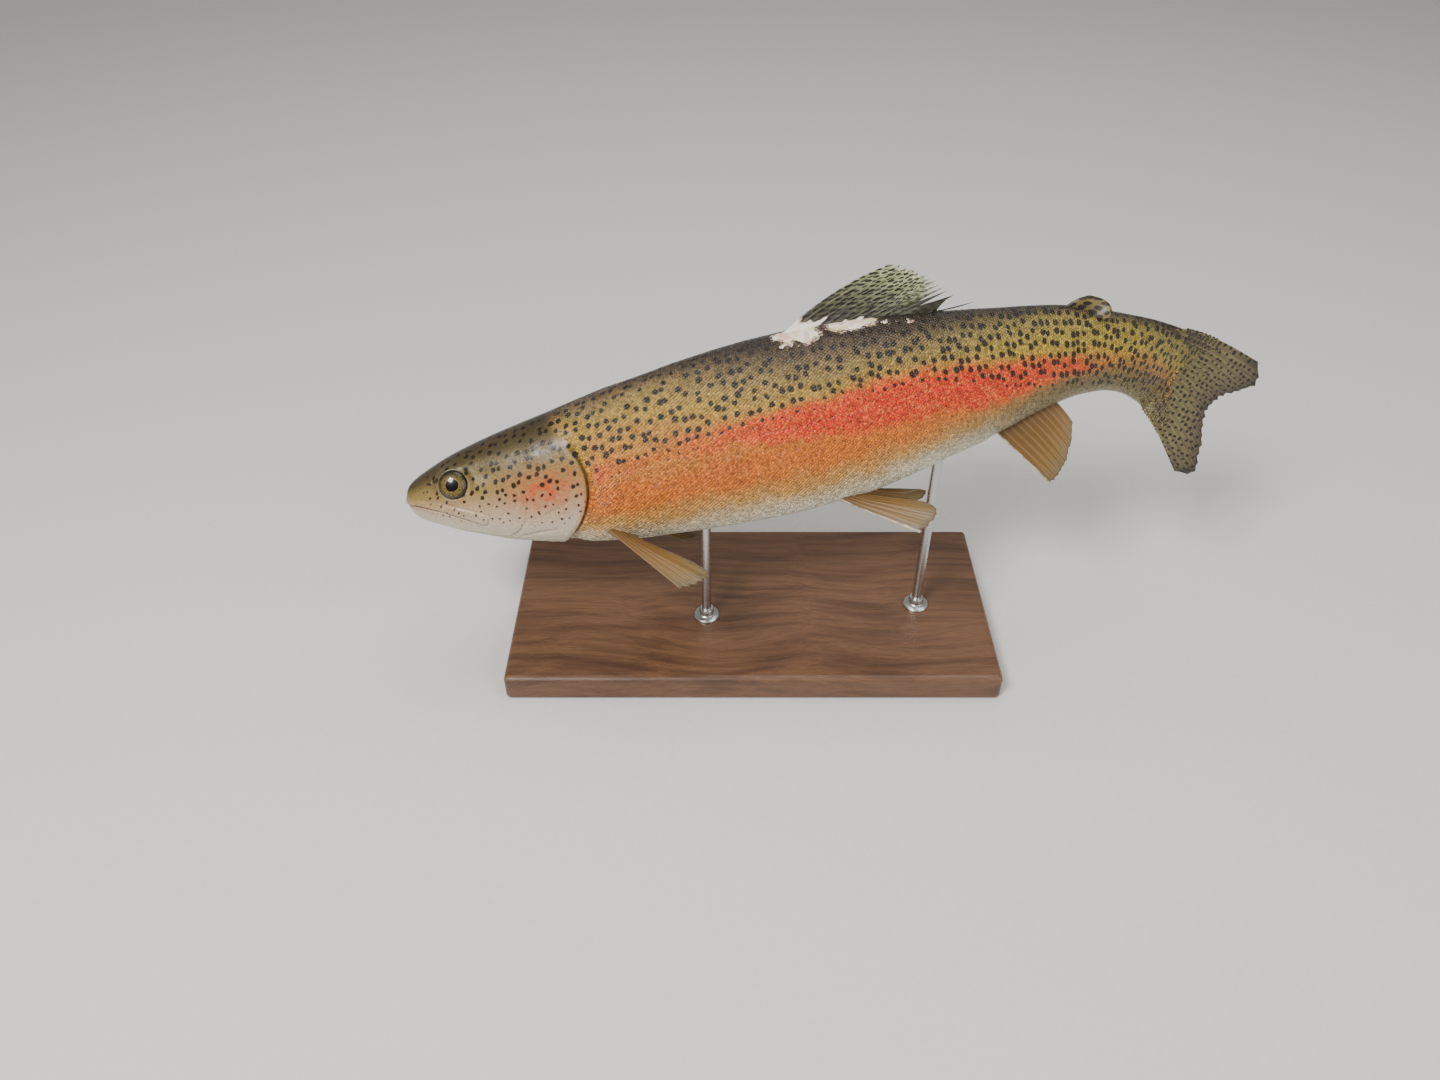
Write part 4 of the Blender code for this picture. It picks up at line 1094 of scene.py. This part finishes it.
def fan(name, rays, roots, tips, finish, slot, root_thick, thick=0.7, across=(0.0, 1.0, 0.0), **form):
    """A fan of rays from a root line to a rim curve, all in parts of the length, as (place, right, up)."""
    roots, tips = np.array(roots) * LENGTH, np.array(tips) * LENGTH
    bow = np.array(form.get("bow", (0.0, 0.0, 0.0))) * LENGTH
    across = np.array(across) / np.linalg.norm(across)
    u = np.linspace(0.0, 1.0, (rays - 1) * FIN_COLUMNS + 1)[:, None]
    v = np.linspace(0.0, 1.0, FIN_ROWS)[None, :]
    ray, share = u * (rays - 1) + 0.0 * v, v + 0.0 * u
    chance = np.random.default_rng(rays * 7)
    gap_fall = form.get("torn", 0.02) * chance.uniform(0.4, 1.6, rays + 1)
    for gap, fall in form.get("tears", {}).items():
        gap_fall[gap] = fall
    ray_fall = form.get("worn", 0.010) * chance.uniform(0.0, 1.0, rays + 1)
    for index, more in form.get("longer", {}).items():
        ray_fall[index] = -more
    off_ray = np.abs(ray - np.round(ray)) * 2.0
    fall = gap_fall[np.minimum(ray.astype(int), rays - 1)] * off_ray**0.7
    fall = fall + np.interp(ray, np.arange(rays + 1), ray_fall)
    root = roots[0] * (1.0 - u[..., None]) + roots[1] * u[..., None]
    pull = 2.0 * tips[1] - (tips[0] + tips[2]) / 2.0
    tip = (tips[0] * (1.0 - u) ** 2 + pull * (2.0 * u * (1.0 - u)) + tips[2] * u**2)[:, None, :]
    middle = root + (tip - root) * (v * (1.0 - fall * v))[..., None]
    middle = middle + bow * (4.0 * v * (1.0 - v) * (1.0 - u))[..., None]
    arch = form.get("cup", 0.0) * LENGTH * np.sin(math.pi * u) * v
    ripple = form.get("ripple", 0.0) * np.sin(ray * 2.1 + 1.0) * v**2
    middle = middle + across * (arch + ripple)[..., None]
    middle[..., 2] -= form.get("sag", 0.0) * LENGTH * ease(rays - 2.3, rays - 1.0, ray) * v**1.5
    wide = np.cumsum(np.linalg.norm(np.diff(middle, axis=0), axis=-1), axis=0)
    net_round, net_along = form.get("net", (3.4, 5.6))
    net = (np.vstack([0.0 * v, wide]) / net_round, net_along)
    rim = ease(0.80, 1.0, share) * form.get("pale_rim", 0.6)
    rim = np.maximum(rim, hump(ray, 0.55) * form.get("white_lead", 0.0))
    raw = np.zeros(ray.shape)
    for along_root, half_length, reach_up in form.get("sores", ()):
        away = np.hypot((u - along_root) / half_length, v / reach_up)
        raw = np.maximum(raw, 1.5 - away + 0.3 * waves(u * 60.0, v * 35.0, 9.0, 61))
    raw = np.clip(raw, 0.0, 1.3)
    height = form.get("rib", 0.22)
    spread_fin(name, middle, ray, share, finish, thick, root_thick, height, net, rim, raw)


fan(
    "dorsal_fin_web", 13,
    roots=((0.500, 0.0, 0.096), (0.640, 0.0, 0.082)),
    tips=((0.662, 0.0, 0.153), (0.703, 0.0, 0.124), (0.722, 0.0, 0.094)),
    finish=spotted_fin, slot="spotted_fin", root_thick=3.6,
    bow=(0.0, 0.0, 0.010), torn=0.035, worn=0.02, cup=0.006, ripple=0.5, pale_rim=0.8, net=(2.9, 4.9),
    tears={6: 0.10, 7: 0.16, 8: 0.30, 9: 0.40, 10: 0.46, 11: 0.42}, longer={11: 0.04, 12: 0.30}, sag=0.014,
    sores=((0.14, 0.24, 0.24), (0.62, 0.30, 0.22), (0.97, 0.09, 0.12)),
)
fan(
    "adipose_fin_web", 4,
    roots=((0.834, 0.0, 0.044), (0.862, -0.003, 0.038)),
    tips=((0.864, -0.009, 0.068), (0.882, -0.018, 0.058), (0.879, -0.026, 0.041)),
    finish=adipose_finish, slot="spotted_fin", root_thick=3.4, thick=1.5, across=(0.0, 0.9, 0.45),
    bow=(-0.002, 0.0, 0.004), torn=0.0, worn=0.0, rib=0.0, net=(4.6, 4.2), pale_rim=0.0,
)
fan(
    "anal_fin_web", 11,
    roots=((0.738, 0.0, -0.072), (0.822, 0.0, -0.052)),
    tips=((0.806, 0.0, -0.164), (0.842, 0.0, -0.134), (0.856, 0.0, -0.088)),
    finish=amber_fin, slot="amber_fin", root_thick=3.2,
    bow=(0.0, 0.0, -0.006), cup=-0.004, ripple=0.4, white_lead=0.9, pale_rim=0.25,
)
PECTORAL_ROOTS = ((0.236, 0.036, -0.064), (0.258, 0.026, -0.084))
PECTORAL_TIPS = ((0.322, 0.108, -0.150), (0.356, 0.084, -0.152), (0.322, 0.040, -0.134))
PELVIC_ROOTS = ((0.528, 0.020, -0.108), (0.552, 0.010, -0.110))
PELVIC_TIPS = ((0.622, 0.058, -0.168), (0.648, 0.042, -0.150), (0.618, 0.018, -0.136))
for side, sign, spread in (("left", -1.0, 1.0), ("right", 1.0, 0.82)):
    flip, out = np.array([1.0, sign, 1.0]), np.array([1.0, sign * spread, 1.0])
    fan(
        f"pectoral_fin_{side}_web", 12,
        roots=PECTORAL_ROOTS * flip, tips=PECTORAL_TIPS * out, across=(0.45, 0.55, 0.70) * flip,
        finish=amber_fin, slot="amber_fin", root_thick=3.4,
        cup=0.006, ripple=0.5, white_lead=0.6, pale_rim=0.3,
    )
    fan(
        f"pelvic_fin_{side}_web", 9,
        roots=PELVIC_ROOTS * flip, tips=PELVIC_TIPS * out, across=(0.30, 0.50, 0.80) * flip,
        finish=amber_fin, slot="amber_fin", root_thick=3.0,
        torn=0.015, cup=0.004, ripple=0.3, white_lead=0.9, pale_rim=0.3,
    )


# The tail fin: two lobes of rays, upper and lower, that share the short middle ray at the fork

TAIL_RAYS = 19
TAIL_ROOT, TAIL_ROOT_HEIGHT = 0.962, 0.046
TAIL_FORK, LOBE_END, TAIL_SPREAD = 1.088, 1.131, 0.088
FIRST_ROW, LAST_ROW, COLUMN_STEP = 7, 30, 6  # of the web's grid, where scales grow

u = np.linspace(0.0, 1.0, (TAIL_RAYS - 1) * FIN_COLUMNS + 1)[:, None]
v = np.linspace(0.0, 1.0, FIN_ROWS + 10)[None, :]
ray, share = u * (TAIL_RAYS - 1) + 0.0 * v, v + 0.0 * u
lobe_side = 1.0 - 2.0 * u
lobe = np.abs(lobe_side)
off_ray = np.abs(ray - np.round(ray)) * 2.0
chance = np.random.default_rng(19)
gap_fall = 0.0035 * chance.uniform(0.3, 1.7, TAIL_RAYS)[np.minimum(ray.astype(int), TAIL_RAYS - 1)]
end_fall = np.interp(ray, np.arange(TAIL_RAYS), 0.0025 * chance.uniform(0.0, 1.0, TAIL_RAYS))
rounded = 0.5 * np.maximum(0.0, lobe - 0.75) ** 2
tail_reach = TAIL_FORK + (LOBE_END - TAIL_FORK) * ease(0.0, 0.95, lobe) - rounded
tail_reach = tail_reach - gap_fall * off_ray**0.7 - end_fall
tail_place = TAIL_ROOT + (tail_reach - TAIL_ROOT) * v
opening_out = v ** (1.25 - 0.35 * lobe)
tail_height = lobe_side * (TAIL_ROOT_HEIGHT + (TAIL_SPREAD - TAIL_ROOT_HEIGHT) * opening_out)
tail_wave = 0.010 * v * np.sin(2.6 * lobe_side + 0.4) + 0.0008 * np.sin(ray * 2.3) * v**2
wide = np.vstack([0.0 * v, np.cumsum(np.abs(np.diff(tail_height, axis=0)), axis=0)]) * LENGTH
sheets = spread_fin(
    "caudal_fin_web", np.stack([tail_place, tail_wave, tail_height], axis=-1) * LENGTH, ray, share,
    finish=tail_fin, thick=0.8, root_thick=5.0, rib_height=0.24,
    net=(wide / 3.6, 4.4), rim=ease(0.86, 1.0, share) * 0.85, raw=0.0 * ray,
)

# Small scales run out over the fleshy root of the tail fin, furthest along its upper and lower edge

right_way = np.array([np.interp(1.0, SPINE[0], axis) for axis in SPINE[3].T])
if (sheets[0] - sheets[1]).mean(axis=(0, 1)) @ right_way > 0.0:
    sheets = sheets[::-1]
at_column, at_row = np.meshgrid(np.arange(len(ray)), np.arange(FIRST_ROW, LAST_ROW), indexing="ij")
staggered = (at_column + COLUMN_STEP // 2 * (at_row % 2)) % COLUMN_STEP == 0
chance = np.random.default_rng(5)
runs_out = 15.0 + 9.0 * lobe[at_column, 0] ** 2 + chance.uniform(-1.5, 1.5, at_row.shape)
grows = staggered & (at_row < runs_out)
at_column, at_row = at_column[grows], at_row[grows]
root_x = tail_place[at_column, at_row] * LENGTH
root_share = u[at_column, 0]
tone_share = root_share * (1.0 - 0.15 * ease(0.97, 1.02, root_x / LENGTH))
size = 0.72 - 0.012 * (at_row - FIRST_ROW)
for side, left in (("left", 1.0), ("right", 0.0)):
    own, other = sheets if left else sheets[::-1]
    place = own[at_column, at_row]
    ring_at = np.interp(root_x, rings, np.arange(len(rings)))
    marks = markings(ring_at, tone_share, np.full(len(root_x), left))
    marks["mark"][:, 0] += np.maximum(0.0, root_x - LENGTH) / net_along[-1]
    around = 1.0 - root_share / 2.0 if left else root_share / 2.0
    roots = {
        "place": place, "lie": own[at_column, at_row + 1] - place, "out": place - other[at_column, at_row],
        "size": size, "span": SCALE_LENGTH * size[:, None] / (net_along[-1], net_round[-1], np.inf),
        "root_uv": np.column_stack([unwrap(root_x, around), 0.0 * size]), **marks,
    }
    lay_coat(f"scales_tail_root_{side}", plain_scale, roots)
bpy.data.objects.remove(plain_scale, do_unlink=True)


# ---------------------------------------------------------------------------------------------------------
# The display stand
#
# An oiled walnut board with softened edges, and two rods of brushed stainless steel. Each rod is screwed up
# through the board, with a small turned collar at its foot, and ends in a blind hole in the belly.

COLLAR_AROUND = 48
COLLAR_PROFILE = (
    (3.0, -0.6), (8.0, -0.6), (8.0, 1.2), (7.4, 1.9), (5.2, 2.3), (4.6, 2.9), (4.5, 6.2), (4.1, 6.8),
    (3.0, 6.8),
)
GROWTH_TONES = ((0.30, "#4a3122"), (0.46, "#5d402b"), (0.58, "#6b4b33"), (0.72, "#58402c"))

# Oiled walnut: brown bands of growth run along the board, 7 mm wide, under a low satin shine that its open
# pores break up. The pores are drawn coarser than life, at 0.8 mm, to show.
walnut, add = new_material("oiled walnut")
board = add("Mapping", {"Vector": add("TexCoord").outputs["Object"], "Location": (0.0, 0.21, 0.0)})
drift = add("TexNoise", board, 5.0).outputs["Color"]
bent_grain = add("VectorMath MULTIPLY_ADD", drift, (0.06, 0.06, 0.06), board)
stretched = add("Mapping", {"Vector": bent_grain, "Scale": (0.05, 1.0, 1.0)})
growth = add("ValToRGB", add("TexNoise", stretched, 150.0, 5.0, 0.55), stops=GROWTH_TONES)
grain = add("TexNoise", stretched, 1300.0, 4.0, 0.6)
fibre = add("MapRange", grain, 0.35, 0.65, 0.80, 1.10)
surface = {
    "Base Color": add("Mix RGBA", 1.0, growth, fibre, blend_type="MULTIPLY"),
    "Roughness": add("MapRange", grain, 0.3, 0.7, 0.46, 0.30),
    "Normal": add("Bump", {"Strength": 0.2, "Distance": 0.0003, "Height": grain}),
}
add("OutputMaterial", add("BsdfPrincipled", surface))

# Stainless steel brushed round the rod: a soft white streak down each side, and no clear reflections. Its
# scratches are drawn coarser than life, at 0.13 mm, to show.
steel, add = new_material("brushed stainless steel")
brushing = add("Mapping", {"Vector": add("TexCoord").outputs["Object"], "Scale": (1.0, 1.0, 30.0)})
scratches = add("TexNoise", brushing, 260.0, 3.0)
surface = {
    "Base Color": add("ValToRGB", scratches, stops=((0.3, "#b4b4b2"), (0.7, "#cdcdca"))),
    "Roughness": add("MapRange", scratches, 0.3, 0.7, 0.22, 0.36), "Metallic": 1.0,
}
add("OutputMaterial", add("BsdfPrincipled", surface))

for node, finish in (("stand_base", walnut), ("stand_rod_front", steel), ("stand_rod_rear", steel)):
    for material_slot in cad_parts[node].material_slots:
        material_slot.link = "OBJECT"
        material_slot.material = finish

turns = np.linspace(0.0, 2.0 * math.pi, COLLAR_AROUND, endpoint=False)
radius, height = (np.array(COLLAR_PROFILE) * MM).T[..., None]
turned = np.stack([radius * np.cos(turns), radius * np.sin(turns), height + 0.0 * turns], axis=-1)
collar_index = np.arange(radius.size * COLLAR_AROUND).reshape(-1, COLLAR_AROUND)
collar_faces = ring_faces(np.vstack([collar_index, collar_index[:1]]))
for end in ("front", "rear"):
    low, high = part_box(f"stand_rod_{end}")
    foot = np.array([(low[0] + high[0]) / 2.0, (low[1] + high[1]) / 2.0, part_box("stand_base")[1][2]])
    collar = mesh_piece(f"stand_collar_{end}", turned + foot, collar_faces)
    collar.data.set_sharp_from_angle(angle=math.radians(35.0))
    collar.data.materials.append(steel)
    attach(collar, "root")


# ---------------------------------------------------------------------------------------------------------
# The setting
#
# A pale matt floor under three large soft lights, and a camera that looks down on the fish's left side.

bpy.ops.mesh.primitive_plane_add(size=12.0)
floor = bpy.context.object
floor.name = "floor"
# Matt paper: an even, shadowless grey with a tooth of 3 mm that can only just be seen
paper, add = new_material("pale studio paper")
tooth = add("TexNoise", add("TexCoord").outputs["Object"], 300.0, 3.0)
shade = add("ValToRGB", tooth, stops=((0.3, "#cfcdc8"), (0.7, "#d3d1cc")))
add("OutputMaterial", add("BsdfPrincipled", {"Base Color": shade, "Roughness": 0.85}))
floor.data.materials.append(paper)

world = bpy.data.worlds.new("studio")
world.use_nodes = True
world.node_tree.nodes["Background"].inputs["Color"].default_value = linear("#e4e3e0")
world.node_tree.nodes["Background"].inputs["Strength"].default_value = 0.45
bpy.context.scene.world = world

LIGHTS = {
    "key": ((-0.60, -0.80, 1.15), 0.42, 27.0),
    "fill": ((1.00, -0.80, 0.70), 1.1, 8.0),
    "top": ((0.25, 0.35, 1.45), 1.0, 10.0),
}
for name, (place, size, power) in LIGHTS.items():
    lamp = bpy.data.lights.new(name, "AREA")
    lamp.shape = "SQUARE"
    lamp.size = size
    lamp.energy = power
    light = in_scene(name, lamp)
    light.location = np.mean([tuple(corner) for corner in solid_box], axis=0) + np.array(place)
    light.rotation_euler = Vector(place).to_track_quat("Z", "Y").to_euler()

lens = bpy.data.cameras.new("camera")
lens.lens = 27.5
lens.sensor_width = 36.0
camera = in_scene("camera", lens)
camera.location = (-0.020, -0.52, 0.504)
camera.rotation_euler = (math.radians(50.0), 0.0, 0.0)
bpy.context.scene.camera = camera
